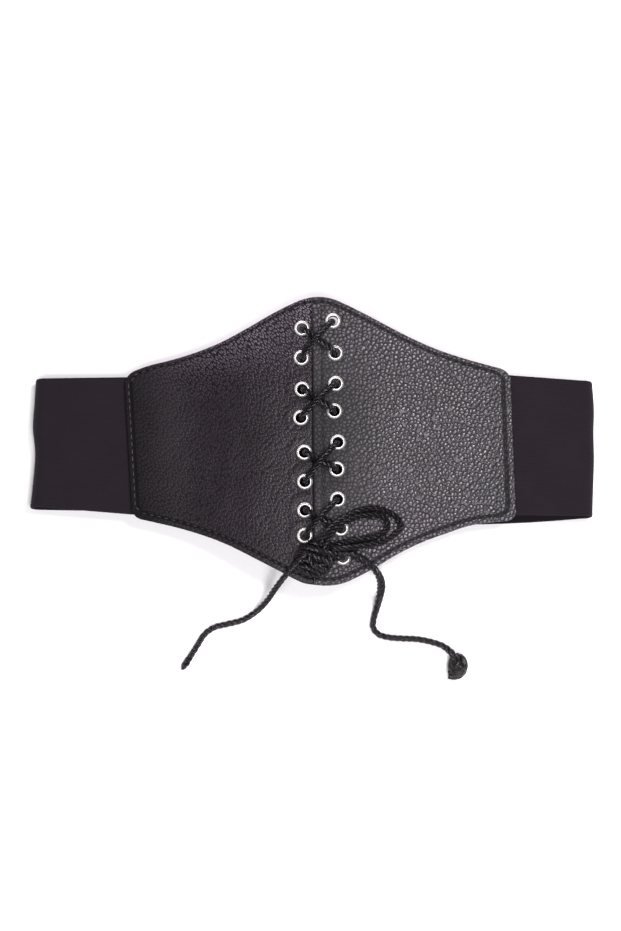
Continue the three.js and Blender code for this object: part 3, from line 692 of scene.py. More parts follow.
def pebble_group():
    """Rounded grain cells with creases between them, as on pressed leather."""
    tree, given, result = node_group(
        "Pebble Grain",
        [("Vector", VECTOR, None), ("Pebble Size", FLOAT, 0.002), ("Crease Width", FLOAT, 0.2),
         ("Wander", FLOAT, 0.5)],
        [("Height", FLOAT), ("Crease", FLOAT)])
    scale = maths(tree, "DIVIDE", 1.0, given.outputs["Pebble Size"])
    bend = add_node(tree, "ShaderNodeTexNoise",
                    {"Vector": given.outputs["Vector"], "Scale": scale, "Detail": 2.0},
                    noise_dimensions="2D", normalize=True)
    centred = add_node(tree, "ShaderNodeVectorMath", {0: bend.outputs["Color"], 1: (0.5, 0.5, 0.5)},
                       operation="SUBTRACT")
    amount = maths(tree, "MULTIPLY", given.outputs["Wander"], given.outputs["Pebble Size"])
    moved = add_node(tree, "ShaderNodeVectorMath", {0: centred.outputs[0]}, operation="SCALE")
    tree.links.new(amount, moved.inputs["Scale"])
    place = add_node(tree, "ShaderNodeVectorMath",
                     {0: given.outputs["Vector"], 1: moved.outputs[0]}, operation="ADD")
    cells = add_node(tree, "ShaderNodeTexVoronoi", {"Vector": place.outputs[0], "Scale": scale},
                     feature="DISTANCE_TO_EDGE", voronoi_dimensions="2D")
    domes = add_node(tree, "ShaderNodeTexVoronoi", {"Vector": place.outputs[0], "Scale": scale},
                     feature="F1", voronoi_dimensions="2D")
    rim = add_node(tree, "ShaderNodeMapRange",
                   {"Value": cells.outputs["Distance"], "From Min": 0.0,
                    "From Max": given.outputs["Crease Width"]}, interpolation_type="SMOOTHSTEP")
    dome = remap(tree, maths(tree, "POWER", domes.outputs["Distance"], 2.0), 0.0, 0.5, 1.0, 0.2)
    height = maths(tree, "MULTIPLY", remap(tree, rim.outputs["Result"], 0.0, 1.0, 0.6, 1.0), dome)
    tree.links.new(height, result.inputs["Height"])
    tree.links.new(maths(tree, "SUBTRACT", 1.0, rim.outputs["Result"]), result.inputs["Crease"])
    return tree


def webbing_group():
    """Fine ribs that run along a band, crossed by finer threads. The place is in metres."""
    tree, given, result = node_group(
        "Rib Weave",
        [("Vector", VECTOR, None), ("Rib Pitch", FLOAT, 0.0012), ("Thread Pitch", FLOAT, 0.0007)],
        [("Height", FLOAT), ("Gap", FLOAT)])
    parts = add_node(tree, "ShaderNodeSeparateXYZ", {"Vector": given.outputs["Vector"]})
    rows = maths(tree, "DIVIDE", parts.outputs["Y"], given.outputs["Rib Pitch"])
    lines = maths(tree, "DIVIDE", parts.outputs["X"], given.outputs["Thread Pitch"])
    rib = maths(tree, "ABSOLUTE", maths(tree, "SINE", maths(tree, "MULTIPLY", rows, math.pi)))
    step = maths(tree, "FLOOR", rows)
    shifted = maths(tree, "ADD", lines, maths(tree, "MULTIPLY", step, 0.5))
    thread = maths(tree, "ABSOLUTE", maths(tree, "SINE", maths(tree, "MULTIPLY", shifted, math.pi)))
    height = maths(tree, "MULTIPLY", rib, remap(tree, thread, 0.0, 1.0, 0.55, 1.0))
    tree.links.new(height, result.inputs["Height"])
    tree.links.new(remap(tree, height, 0.0, 0.45, 1.0, 0.0, True), result.inputs["Gap"])
    return tree


def handling_group():
    """Soft patches where a surface has been handled, and specks of dust."""
    tree, given, result = node_group(
        "Handling",
        [("Vector", VECTOR, None), ("Patch Size", FLOAT, 0.03), ("Speck Size", FLOAT, 0.0012)],
        [("Patches", FLOAT), ("Specks", FLOAT)])
    large = add_node(tree, "ShaderNodeTexNoise",
                     {"Vector": given.outputs["Vector"], "Detail": 3.0, "Roughness": 0.55,
                      "Scale": maths(tree, "DIVIDE", 1.0, given.outputs["Patch Size"])})
    small = add_node(tree, "ShaderNodeTexNoise",
                     {"Vector": given.outputs["Vector"], "Detail": 4.0, "Roughness": 0.7,
                      "Scale": maths(tree, "DIVIDE", 1.0, given.outputs["Speck Size"])})
    tree.links.new(remap(tree, large.outputs[0], 0.3, 0.7, 0.0, 1.0, True), result.inputs["Patches"])
    tree.links.new(remap(tree, small.outputs[0], 0.6, 0.8, 0.0, 1.0, True), result.inputs["Specks"])
    return tree


def group_node(tree, make, label, links):
    """A node of the shader group with that name, which is made the first time."""
    shared = bpy.data.node_groups.get(label) or make()
    return add_node(tree, "ShaderNodeGroup", links, node_tree=shared)


def pebbles(tree, place, size, crease_width, wander):
    return group_node(tree, pebble_group, "Pebble Grain",
                      {"Vector": place, "Pebble Size": size, "Crease Width": crease_width,
                       "Wander": wander})


def webbing(tree, place, rib_pitch, thread_pitch):
    return group_node(tree, webbing_group, "Rib Weave",
                      {"Vector": place, "Rib Pitch": rib_pitch, "Thread Pitch": thread_pitch})


def handling(tree, place, patch_size, speck_size):
    return group_node(tree, handling_group, "Handling",
                      {"Vector": place, "Patch Size": patch_size, "Speck Size": speck_size})


def start_material(name, **shader_values):
    """A material with a Principled shader whose plain values are set on its sockets."""
    material = bpy.data.materials.new(name)
    material.use_nodes = True
    tree = material.node_tree
    shader = tree.nodes["Principled BSDF"]
    for key, value in shader_values.items():
        shader.inputs[key.replace("_", " ")].default_value = value
    return material, tree, shader


def colour_mix(tree, amount, low, high):
    node = tree.nodes.new("ShaderNodeMix")
    node.data_type = "RGBA"
    for index, value in ((0, amount), (6, low), (7, high)):
        if isinstance(value, bpy.types.NodeSocket):
            tree.links.new(value, node.inputs[index])
        elif index == 0:
            node.inputs[index].default_value = value
        else:
            node.inputs[index].default_value = (*value, 1)
    return node.outputs[2]


def tint(tree, tone, amount, share, colour):
    """A tone turned towards a colour by a share of an amount."""
    return colour_mix(tree, maths(tree, "MULTIPLY", amount, share), tone, colour)


def scaled(colour, k):
    return tuple(c * k for c in colour)


def add_bump(tree, shader, height, distance):
    bump = add_node(tree, "ShaderNodeBump",
                    {"Height": height, "Distance": distance, "Strength": 1.0})
    tree.links.new(bump.outputs["Normal"], shader.inputs["Normal"])


def leather_material(name, colour, lining, pebble, depth, roughness, shine, stretch, turn):
    """Pressed leather-look face, its grain drawn out one way, with a knitted inner side."""
    material, tree, shader = start_material(name, Specular_IOR_Level=shine)
    place = add_node(tree, "ShaderNodeTexCoord")
    turned = add_node(tree, "ShaderNodeMapping",
                      {"Vector": place.outputs["Object"], "Rotation": (0, 0, turn)})
    drawn = add_node(tree, "ShaderNodeMapping",
                     {"Vector": turned.outputs["Vector"], "Scale": (stretch, 1, 1)})
    grain = pebbles(tree, drawn.outputs["Vector"], pebble, 0.26, 0.4)
    fine = pebbles(tree, drawn.outputs["Vector"], pebble * 0.36, 0.3, 0.8)
    hands = handling(tree, place.outputs["Object"], 0.03, 0.0016)
    knit = webbing(tree, place.outputs["Object"], 0.0011, 0.0008)
    marks = add_node(tree, "ShaderNodeSeparateXYZ",
                     {"Vector": add_node(tree, "ShaderNodeUVMap", uv_map="marks").outputs["UV"]})
    facing = add_node(tree, "ShaderNodeSeparateXYZ", {"Vector": place.outputs["Normal"]})
    inner = remap(tree, facing.outputs["Z"], -0.25, -0.45, 0.0, 1.0)
    tops = remap(tree, grain.outputs["Height"], 0.45, 0.95, 0.0, 1.0, True)
    # Painted shade and painted highlight: the grain's creases and sides darkened to a quarter of the
    # colour, its tops lightened up to twice it
    face = tint(tree, scaled(colour, 0.25), tops, marks.outputs["Y"], scaled(colour, 2.0))
    # Painted highlight: past a grain strength of 1 the grain's tops are painted pale
    painted_highlight = maths(tree, "SUBTRACT", marks.outputs["Y"], 1.0)
    pale = tuple(12 * mix(c, colour[0], 0.45) for c in colour)
    face = tint(tree, face, tops, painted_highlight, pale)
    face = tint(tree, face, hands.outputs["Patches"], 0.45, scaled(colour, 1.35))
    face = tint(tree, face, hands.outputs["Specks"], 0.12, scaled(colour, 4))
    # Painted shade: darker along the stitch grooves, the seam, beside the right panel's seam and
    # towards the left panel's outer edge
    face = colour_mix(tree, marks.outputs["X"], face, scaled(colour, 0.15))
    cloth = colour_mix(tree, knit.outputs["Gap"], lining, scaled(lining, 0.4))
    tree.links.new(colour_mix(tree, inner, face, cloth), shader.inputs["Base Color"])
    rough = maths(tree, "ADD", roughness, maths(tree, "MULTIPLY", grain.outputs["Crease"], 0.25))
    rough = maths(tree, "SUBTRACT", rough, maths(tree, "MULTIPLY", hands.outputs["Patches"], 0.06))
    rough = maths(tree, "ADD", rough, marks.outputs["X"])
    rough = maths(tree, "MAXIMUM", rough, maths(tree, "MULTIPLY", inner, 0.95))
    tree.links.new(rough, shader.inputs["Roughness"])
    height = maths(tree, "ADD",
                   maths(tree, "MULTIPLY", grain.outputs["Height"], marks.outputs["Y"]),
                   maths(tree, "MULTIPLY", fine.outputs["Height"], 0.07))
    mixed = add_node(tree, "ShaderNodeMix", data_type="FLOAT")
    tree.links.new(inner, mixed.inputs[0])
    tree.links.new(height, mixed.inputs[2])
    tree.links.new(knit.outputs["Height"], mixed.inputs[3])
    add_bump(tree, shader, mixed.outputs[0], depth)
    return material


def elastic_material(colour):
    material, tree, shader = start_material(
        "elastic_webbing", Specular_IOR_Level=0.15, Sheen_Weight=0.05, Sheen_Roughness=0.6,
        Sheen_Tint=(0.6, 0.55, 0.6, 1))
    cloth = add_node(tree, "ShaderNodeUVMap", uv_map="cloth")
    ribs = webbing(tree, cloth.outputs["UV"], 0.00125, 0.0009)
    hands = handling(tree, cloth.outputs["UV"], 0.022, 0.0014)
    tone = colour_mix(tree, ribs.outputs["Gap"], scaled(colour, 1.1), scaled(colour, 0.75))
    tone = tint(tree, tone, hands.outputs["Patches"], 0.5, scaled(colour, 1.4))
    tone = tint(tree, tone, hands.outputs["Specks"], 0.2, scaled(colour, 4))
    tree.links.new(tone, shader.inputs["Base Color"])
    tree.links.new(remap(tree, ribs.outputs["Height"], 0.0, 1.0, 0.95, 0.8),
                   shader.inputs["Roughness"])
    uneven = maths(tree, "ADD", maths(tree, "MULTIPLY", ribs.outputs["Height"], 0.25),
                   maths(tree, "MULTIPLY", hands.outputs["Specks"], 0.6))
    add_bump(tree, shader, uneven, 0.00016)
    return material


def lace_material(name, colour):
    if bpy.data.materials.get(name):
        return bpy.data.materials[name]
    material, tree, shader = start_material(name, Specular_IOR_Level=0.42)
    cloth = add_node(tree, "ShaderNodeUVMap", uv_map="cloth")
    slant = add_node(tree, "ShaderNodeMapping",
                     {"Vector": cloth.outputs["UV"], "Rotation": (0, 0, 0.5)})
    plies = webbing(tree, slant.outputs["Vector"], FIBRE_PITCH, 0.004)
    hands = handling(tree, cloth.outputs["UV"], 0.012, 0.0008)
    tone = colour_mix(tree, plies.outputs["Gap"], scaled(colour, 1.2), scaled(colour, 0.4))
    tone = tint(tree, tone, hands.outputs["Specks"], 0.3, scaled(colour, 3.5))
    tree.links.new(tone, shader.inputs["Base Color"])
    tree.links.new(remap(tree, hands.outputs["Patches"], 0.0, 1.0, 0.26, 0.4),
                   shader.inputs["Roughness"])
    add_bump(tree, shader, plies.outputs["Height"], 0.00016)
    return material


def nickel_material(colour):
    material, tree, shader = start_material("nickel_plate", Metallic=1.0)
    place = add_node(tree, "ShaderNodeTexCoord")
    hands = handling(tree, place.outputs["Object"], 0.004, 0.0005)
    tree.links.new(tint(tree, colour, hands.outputs["Patches"], 0.5, scaled(colour, 0.86)),
                   shader.inputs["Base Color"])
    rough = maths(tree, "ADD", remap(tree, hands.outputs["Patches"], 0.0, 1.0, 0.4, 0.48),
                  maths(tree, "MULTIPLY", hands.outputs["Specks"], 0.2))
    tree.links.new(rough, shader.inputs["Roughness"])
    add_bump(tree, shader, hands.outputs["Specks"], 0.00002)
    return material


def clasp_material(colour):
    material, tree, shader = start_material("clasp_black", Specular_IOR_Level=0.45)
    place = add_node(tree, "ShaderNodeTexCoord")
    grain = pebbles(tree, place.outputs["Object"], 0.0005, 0.5, 0.5)
    hands = handling(tree, place.outputs["Object"], 0.015, 0.0008)
    tree.links.new(colour_mix(tree, hands.outputs["Specks"], colour, scaled(colour, 2.5)),
                   shader.inputs["Base Color"])
    tree.links.new(remap(tree, hands.outputs["Patches"], 0.0, 1.0, 0.42, 0.58),
                   shader.inputs["Roughness"])
    add_bump(tree, shader, grain.outputs["Height"], 0.00003)
    return material


# Columns of a panel's grid, by distance from the seam, share of the way, or distance from outside
SEAM_COLUMNS = (0, 0.15, 0.4, 0.8, 1.3, 1.9, 2.6, 3.3, 4.0, 4.6, 5.1, 5.6, 6.1, 6.7, 7.4, 8.2, 9)
OUTER_COLUMNS = (7.2, 6.8, 6.3, 5.8, 5.3, 4.9, 4.5, 4.0, 3.4, 2.9, 2.4, 1.9, 1.4, 1.0, 0.7, 0.4,
                 0.2, 0.07, 0)
COLUMNS = (
    [("seam", 0.001 * d) for d in SEAM_COLUMNS]
    + [("share", 0.001 * d) for d in range(90, 921, 10)]
    + [("outer", 0.001 * d) for d in OUTER_COLUMNS]
)

# Rows near its top and bottom, in millimetres from the edge, and the number between them
ROW_INSETS = (0, 0.07, 0.2, 0.4, 0.7, 1.0, 1.4, 1.8, 2.1, 2.4, 2.7, 3.0, 3.3, 3.6, 3.9, 4.2, 4.7,
              5.4, 6.2, 7.1, 8.1)
MIDDLE_ROWS = 96


def panel_grid(name):
    """Even places (x, y) over a panel, close together at its hems: [column][row]."""
    side = SIDES[name]
    gap = 0 if name == "right" else -SEAM_SLIT
    grid = []
    for kind, value in COLUMNS:
        ends = []
        for end in (-1, 1):
            inner = seam_x(end * FRONT_HEIGHT / 2) + gap
            outer = side["sign"] * side["reach"][end]
            if kind == "seam":
                x = inner + side["sign"] * value
            elif kind == "outer":
                x = outer - side["sign"] * value
            else:
                x = mix(inner, outer, value)
            drop = 0
            if kind == "outer" and value < CORNER_RADIUS:
                into = CORNER_RADIUS - value
                drop = CORNER_RADIUS - math.sqrt(CORNER_RADIUS ** 2 - into ** 2)
            lean = math.hypot(1, edge_slope(x, end))
            ends.append((x, edge_y(x, end) - end * drop, lean))
        (x0, y0, lean0), (x1, y1, lean1) = ends
        heights = [y0 + 0.001 * d * lean0 for d in ROW_INSETS]
        tops = [y1 - 0.001 * d * lean1 for d in ROW_INSETS]
        heights += [mix(heights[-1], tops[-1], i / MIDDLE_ROWS) for i in range(1, MIDDLE_ROWS)]
        heights += reversed(tops)
        if kind == "outer":
            grid.append([(outer_x(name, y) - side["sign"] * value, y) for y in heights])
        else:
            grid.append([(mix(x0, x1, (y - y0) / (y1 - y0)), y) for y in heights])
    return grid


class BELT_OT_stage(bpy.types.Operator):
    """Make the camera, the pale floor and the soft studio lights"""
    bl_idname = "belt.stage"
    bl_label = "Stage"

    def execute(self, context):
        scene = context.scene
        height = math.radians(CAMERA_ELEVATION)
        away = Vector((0, -math.cos(height), math.sin(height)))
        camera_data = bpy.data.cameras.new("photo_camera")
        camera = bpy.data.objects.new("photo_camera", camera_data)
        scene.collection.objects.link(camera)
        camera.location = Vector(CAMERA_TARGET) + away * CAMERA_DISTANCE
        camera.rotation_euler = (-away).to_track_quat("-Z", "Y").to_euler()
        camera_data.sensor_width = 36
        camera_data.lens = CAMERA_LENS
        camera_data.clip_start = 0.05
        scene.camera = camera

        deselect_all()
        bpy.ops.mesh.primitive_plane_add(size=6, location=(0, 0, -0.0004))
        floor = context.object
        floor.name = "floor"
        material, _, _ = start_material(
            "floor_paper", Base_Color=(0.97, 0.97, 0.97, 1), Roughness=0.9, Specular_IOR_Level=0.1)
        floor.data.materials.append(material)

        world = bpy.data.worlds.new("studio")
        world.use_nodes = True
        background = world.node_tree.nodes["Background"]
        background.inputs["Color"].default_value = (1, 1, 1, 1)
        background.inputs["Strength"].default_value = WORLD_STRENGTH
        scene.world = world
        for name, place, size, power, colour in LIGHTS:
            light_data = bpy.data.lights.new(name, "AREA")
            light_data.shape = "SQUARE"
            light_data.size = size
            light_data.energy = power
            light_data.color = colour
            light = bpy.data.objects.new(name, light_data)
            scene.collection.objects.link(light)
            light.location = place
            aim = Vector(LIGHT_AIM) - light.location
            light.rotation_euler = aim.to_track_quat("-Z", "Y").to_euler()
        scene.view_settings.view_transform = "Standard"
        return {"FINISHED"}


def panel_area(name):
    """Flat area of a panel's face, along its curve."""
    grid = panel_grid(name)
    area = 0
    for a, b in zip(grid, grid[1:]):
        for j in range(len(a) - 1):
            corners = [Vector((x, y, arch_z(x))) for x, y in (a[j], b[j], b[j + 1], a[j + 1])]
            area += (corners[2] - corners[0]).cross(corners[3] - corners[1]).length / 2
    return area


class BELT_OT_front_panels(bpy.types.Operator):
    """Make the two leather panels of the front, with hems, seam and eyelet holes"""
    bl_idname = "belt.front_panels"
    bl_label = "Front panels"

    def execute(self, context):
        sizes = context.scene.belt_sizes
        colours = context.scene.belt_colours
        skins = {"left": colours.left_leather, "right": colours.right_leather}
        places = eyelet_places()
        for name, colour in skins.items():
            grid = panel_grid(name)
            faces = []
            for face in (1, -1):
                faces.append([[panel_face(name, x, y, sizes, places[name], face)
                               for x, y in column] for column in grid])
            self.close_rim(grid, faces)
            if name == "left":
                for face in faces:
                    face.reverse()
            material = leather_material(f"grained_leather_{name}", tuple(colour),
                                        tuple(colours.lining), **LEATHER_LOOKS[name])
            points, polygons = wall(*faces)
            piece = new_mesh(f"leather_panel_{name}", points, polygons, material)
            # Painted shade in x, and grain strength with painted highlight past 1 in y, kept as a UV
            # map
            marks = [[panel_shade_and_grain(name, x, y, sizes) for x, y in column] for column in grid]
            if name == "left":
                marks.reverse()
            add_uv(piece, [m for column in marks for m in column] * 2, "marks")
            apply_modifier(piece, "WELD", merge_threshold=0.00001)
            # Flat triangles before and after the cut keep the holes' edges free of slivers
            apply_modifier(piece, "TRIANGULATE", min_vertices=4)
            cut_away(piece, self.make_cutter(places[name]))
            apply_modifier(piece, "TRIANGULATE", min_vertices=4)
            if len(piece.data.polygons) < 1000:
                raise RuntimeError("the eyelet holes weren't cut")
            piece.data.polygons.foreach_set("use_smooth", [True] * len(piece.data.polygons))
            area = panel_area(name)
            settle(piece, f"leather_{name}", f"front_panel_{name}")
        return {"FINISHED"}

    def close_rim(self, grid, faces):
        """Brings both sides together along the top, bottom and outer edges."""
        for i, column in enumerate(grid):
            for j, (x, y) in enumerate(column):
                if i == len(grid) - 1 or j in (0, len(column) - 1):
                    for face in faces:
                        face[i][j] = Vector((x, y, arch_z(x)))

    def make_cutter(self, places):
        """One rod for each eyelet hole, joined."""
        deselect_all()
        rods = []
        for x, y in places:
            bpy.ops.mesh.primitive_cylinder_add(
                vertices=32, radius=HOLE_RADIUS, depth=0.008, location=(x, y, CREST_Z))
            rods.append(bpy.context.object)
        for rod in rods:
            rod.select_set(True)
        bpy.context.view_layer.objects.active = rods[0]
        bpy.ops.object.join()
        return bpy.context.object


def line_offset(x, end, inset):
    """A point inset from the top or bottom edge, square to it."""
    slope = edge_slope(x, end)
    lean = math.hypot(1, slope)
    return x + end * slope / lean * inset, edge_y(x, end) - end * inset / lean


def hem_line(name, sizes):
    """The stitch line round a panel's hems, from the seam at the top to the seam at the bottom."""
    side = SIDES[name]
    sign = side["sign"]
    line = []
    for end in (1, -1):
        inset = sizes.hem_stitch * side["hems"][end]
        start = seam_x(end * FRONT_HEIGHT / 2) + sign * 0.001
        stop = sign * (side["reach"][end] - CORNER_RADIUS)
        run = [line_offset(mix(start, stop, i / 120), end, inset) for i in range(121)]
        line += run if end > 0 else run[::-1]
        if end > 0:
            low = side["corner"][-1] - CORNER_RADIUS
            high = side["corner"][1] - CORNER_RADIUS
            for i in range(41):
                y = mix(high, -low, i / 40)
                line.append((outer_x(name, y) - sign * side["outer_stitch"], y))
    return line


def even_places(line, pitch):
    """Middles and directions of the stitches along a line."""
    runs = [0]
    for (ax, ay), (bx, by) in zip(line, line[1:]):
        runs.append(runs[-1] + math.hypot(bx - ax, by - ay))
    count = int(runs[-1] / pitch)
    found = []
    k = 0
    for i in range(count):
        want = (i + 0.5) * runs[-1] / count
        while runs[k + 1] < want:
            k += 1
        t = (want - runs[k]) / (runs[k + 1] - runs[k])
        (ax, ay), (bx, by) = line[k], line[k + 1]
        found.append((mix(ax, bx, t), mix(ay, by, t), math.atan2(by - ay, bx - ax)))
    return found


class BELT_OT_stitching(bpy.types.Operator):
    """Sew the hems of both panels and the seam in the middle"""
    bl_idname = "belt.stitching"
    bl_label = "Stitching"

    def execute(self, context):
        sizes = context.scene.belt_sizes
        colours = context.scene.belt_colours
        dark = self.thread_material("sewing_thread", tuple(colours.thread))
        light = self.thread_material("light_sewing_thread", tuple(colours.light_thread))
        eyelets = eyelet_places()
        deselect_all()
        bpy.ops.mesh.primitive_uv_sphere_add(segments=8, ring_count=6, radius=0.5)
        pattern = context.object
        pattern.rotation_euler = (0, math.pi / 2, 0)
        bpy.ops.object.transform_apply(rotation=True)
        pattern.scale = (sizes.stitch_pitch * 0.84, sizes.thread_width, sizes.thread_width * 0.9)
        bpy.ops.object.transform_apply(scale=True)
        for vertex in pattern.data.vertices:
            along = vertex.co.x / sizes.stitch_pitch
            vertex.co.z -= 0.9 * sizes.thread_width * (2 * along) ** 2
        for name in SIDES:
            lines = [hem_line(name, sizes)]
            if name == "right":
                top = FRONT_HEIGHT / 2 - 0.004
                lines.append([(seam_x(y) + sizes.seam_stitch, y)
                              for y in (mix(top, -top, i / 80) for i in range(81))])
            points = []
            faces = []
            for line in lines:
                for x, y, turn in even_places(line, sizes.stitch_pitch):
                    face = panel_face(name, x, y, sizes, eyelets[name], 1)
                    ahead = panel_face(name, x + 0.0008 * math.cos(turn),
                                       y + 0.0008 * math.sin(turn), sizes, eyelets[name], 1)
                    heading = (ahead - face).normalized()
                    across = Vector((-math.sin(turn), math.cos(turn), 0))
                    up = heading.cross(across).normalized()
                    base = len(points)
                    wobble = 0.12 * soft(x, y, 0.003, 1.3)
                    heading_turned = (heading + across * wobble).normalized()
                    across_turned = up.cross(heading_turned)
                    for vertex in pattern.data.vertices:
                        c = vertex.co
                        points.append(face + heading_turned * c.x + across_turned * c.y
                                      + up * (c.z + 0.22 * sizes.thread_width))
                    faces += [tuple(base + v for v in p.vertices) for p in pattern.data.polygons]
            piece = new_mesh(f"stitches_{name}", points, faces, dark)
            if name == "left":
                piece.data.materials.append(light)
                outer = 0.0038 - SIDES[name]["reach"][-1]
                for polygon in piece.data.polygons:
                    if polygon.center.x < outer:
                        polygon.material_index = 1
            settle(piece, f"leather_{name}")
        bpy.data.objects.remove(pattern)
        return {"FINISHED"}

    def thread_material(self, name, colour):
        material, tree, shader = start_material(name, Specular_IOR_Level=0.5, Roughness=0.5)
        place = add_node(tree, "ShaderNodeTexCoord")
        hands = handling(tree, place.outputs["Object"], 0.006, 0.0003)
        tree.links.new(colour_mix(tree, hands.outputs["Patches"], colour, scaled(colour, 2)),
                       shader.inputs["Base Color"])
        add_bump(tree, shader, hands.outputs["Specks"], 0.00006)
        return material


def band_stations(name):
    """Places along a band: x and z of its middle, its outward direction, fold and back shares."""
    side = SIDES[name]
    inner = side["foot"]
    back_z = FRONT_MIDDLE_Z - 2 * FOLD_RADIUS
    stations = []
    for i in range(36):
        t = i / 36
        stations.append((mix(inner, FOLD_X, t), FRONT_MIDDLE_Z, 0, 1, t, 0))
    for i in range(17):
        a = math.pi * i / 16
        stations.append((FOLD_X + FOLD_RADIUS * math.sin(a), back_z + FOLD_RADIUS * (1 + math.cos(a)),
                         math.sin(a), math.cos(a), 1, 0))
    entry = CLASP_HALF_WIDTH + CLASP_ENTRY
    for i in range(1, 61):
        share = i / 60
        stations.append((mix(FOLD_X, entry + CLASP_RISE, share), back_z, 0, -1,
                         1 - share * 5 / 6, 1 - (1 - share) ** 3))
    for i in range(1, 11):
        t = i / 10
        lift = (1 - math.cos(t * math.pi)) / 2
        stations.append((entry + CLASP_RISE * (1 - t), mix(back_z, CLASP_MIDDLE_Z, lift), 0, -1, 0, 1))
    for i in range(1, 7):
        stations.append((mix(entry, CLASP_HALF_WEB + CLEARANCE, i / 6), CLASP_MIDDLE_Z, 0, -1, 0, 1))
    return stations


class BELT_OT_elastic(bpy.types.Operator):
    """Make the two folded halves of the elastic webbing"""
    bl_idname = "belt.elastic"
    bl_label = "Elastic"

    def execute(self, context):
        sizes = context.scene.belt_sizes
        material = elastic_material(tuple(context.scene.belt_colours.elastic))
        for name, side in SIDES.items():
            self.make_band(name, side["sign"], sizes, material)
        return {"FINISHED"}

    def make_band(self, name, sign, sizes, material):
        edges = ELASTIC_EDGES[name]
        half = sizes.elastic_thickness / 2
        count = 56
        shares = [0, 0.0015, 0.005, 0.011, 0.02, 0.032]
        shares += [mix(0.045, 0.955, i / count) for i in range(count + 1)]
        shares += [1 - s for s in reversed(shares[:6])]
        outer = []
        inner = []
        places = []
        length = 0
        before = None
        for x0, z0, nx, nz, fold, back in band_stations(name):
            if before:
                length += math.hypot(x0 - before[0], z0 - before[1])
            before = (x0, z0)
            top = self.edge_at(edges["top"], fold, back)
            bottom = -self.edge_at(edges["bottom"], fold, back)
            out_column = []
            in_column = []
            for t in shares:
                y = mix(bottom, top, t)
                x = x0 + FOLD_WANDER * smooth_table(FOLD_UP, FOLD_SHARES[name], t) * fold
                rim = min(t, 1 - t)
                full = max(math.sqrt(1 - max(1 - rim / 0.011, 0) ** 2), 0.08)
                ridge = 0.00012 * bump_profile(rim, 0.02, 0.012)
                lift = (1 - back) * fold
                wave = 0.00035 * lift * soft(x, y, 0.03, 5.5) if nz > 0.5 else 0
                out = half * full + (ridge + wave if nz > -0.5 else 0)
                into = half * full - wave
                out_column.append(Vector((sign * (x + out * nx), y, z0 + out * nz)))
                in_column.append(Vector((sign * (x - into * nx), y, z0 - into * nz)))
                places.append((length, ELASTIC_WIDTH * t))
            outer.append(out_column)
            inner.append(in_column)
        rows = len(shares)
        if sign < 0:
            outer.reverse()
            inner.reverse()
            columns = [places[i:i + rows] for i in range(0, len(places), rows)]
            places = [p for column in reversed(columns) for p in column]
        points, faces = wall(outer, inner)
        piece = new_mesh(f"elastic_band_{name}", points, faces, material)
        add_uv(piece, places + places)
        settle(piece, "elastic", f"elastic_{name}")

    def edge_at(self, values, fold, back):
        at_panel, at_fold, at_back = values
        if back > 0:
            return mix(at_fold, at_back, back)
        return mix(at_panel, at_fold, fold)


class BELT_OT_back_clasp(bpy.types.Operator):
    """Make the plain bar that joins the elastic at the back"""
    bl_idname = "belt.back_clasp"
    bl_label = "Back clasp"

    def execute(self, context):
        low, high = (Vector(corner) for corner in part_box("back_clasp"))
        middle = (low + high) / 2
        deselect_all()
        bpy.ops.mesh.primitive_cube_add(size=1, location=middle, scale=high - low)
        piece = context.object
        piece.name = "clasp_bar"
        bpy.ops.object.transform_apply(location=True, rotation=True, scale=True)
        for sign in (-1, 1):
            deselect_all()
            reach = CLASP_HALF_WIDTH + 0.001 - CLASP_HALF_WEB
            bpy.ops.mesh.primitive_cube_add(
                size=1,
                location=(sign * (CLASP_HALF_WEB + reach / 2), middle.y, CLASP_MIDDLE_Z),
                scale=(reach, *CLASP_SLOT))
            cut_away(piece, context.object)
        apply_modifier(piece, "BEVEL", width=0.00035, segments=3, limit_method="ANGLE",
                       angle_limit=math.radians(40))
        piece.data.materials.append(clasp_material(tuple(context.scene.belt_colours.clasp)))
        choose(piece)
        bpy.ops.object.shade_smooth_by_angle(angle=math.radians(35))
        settle(piece, "clasp", "back_clasp")
        return {"FINISHED"}


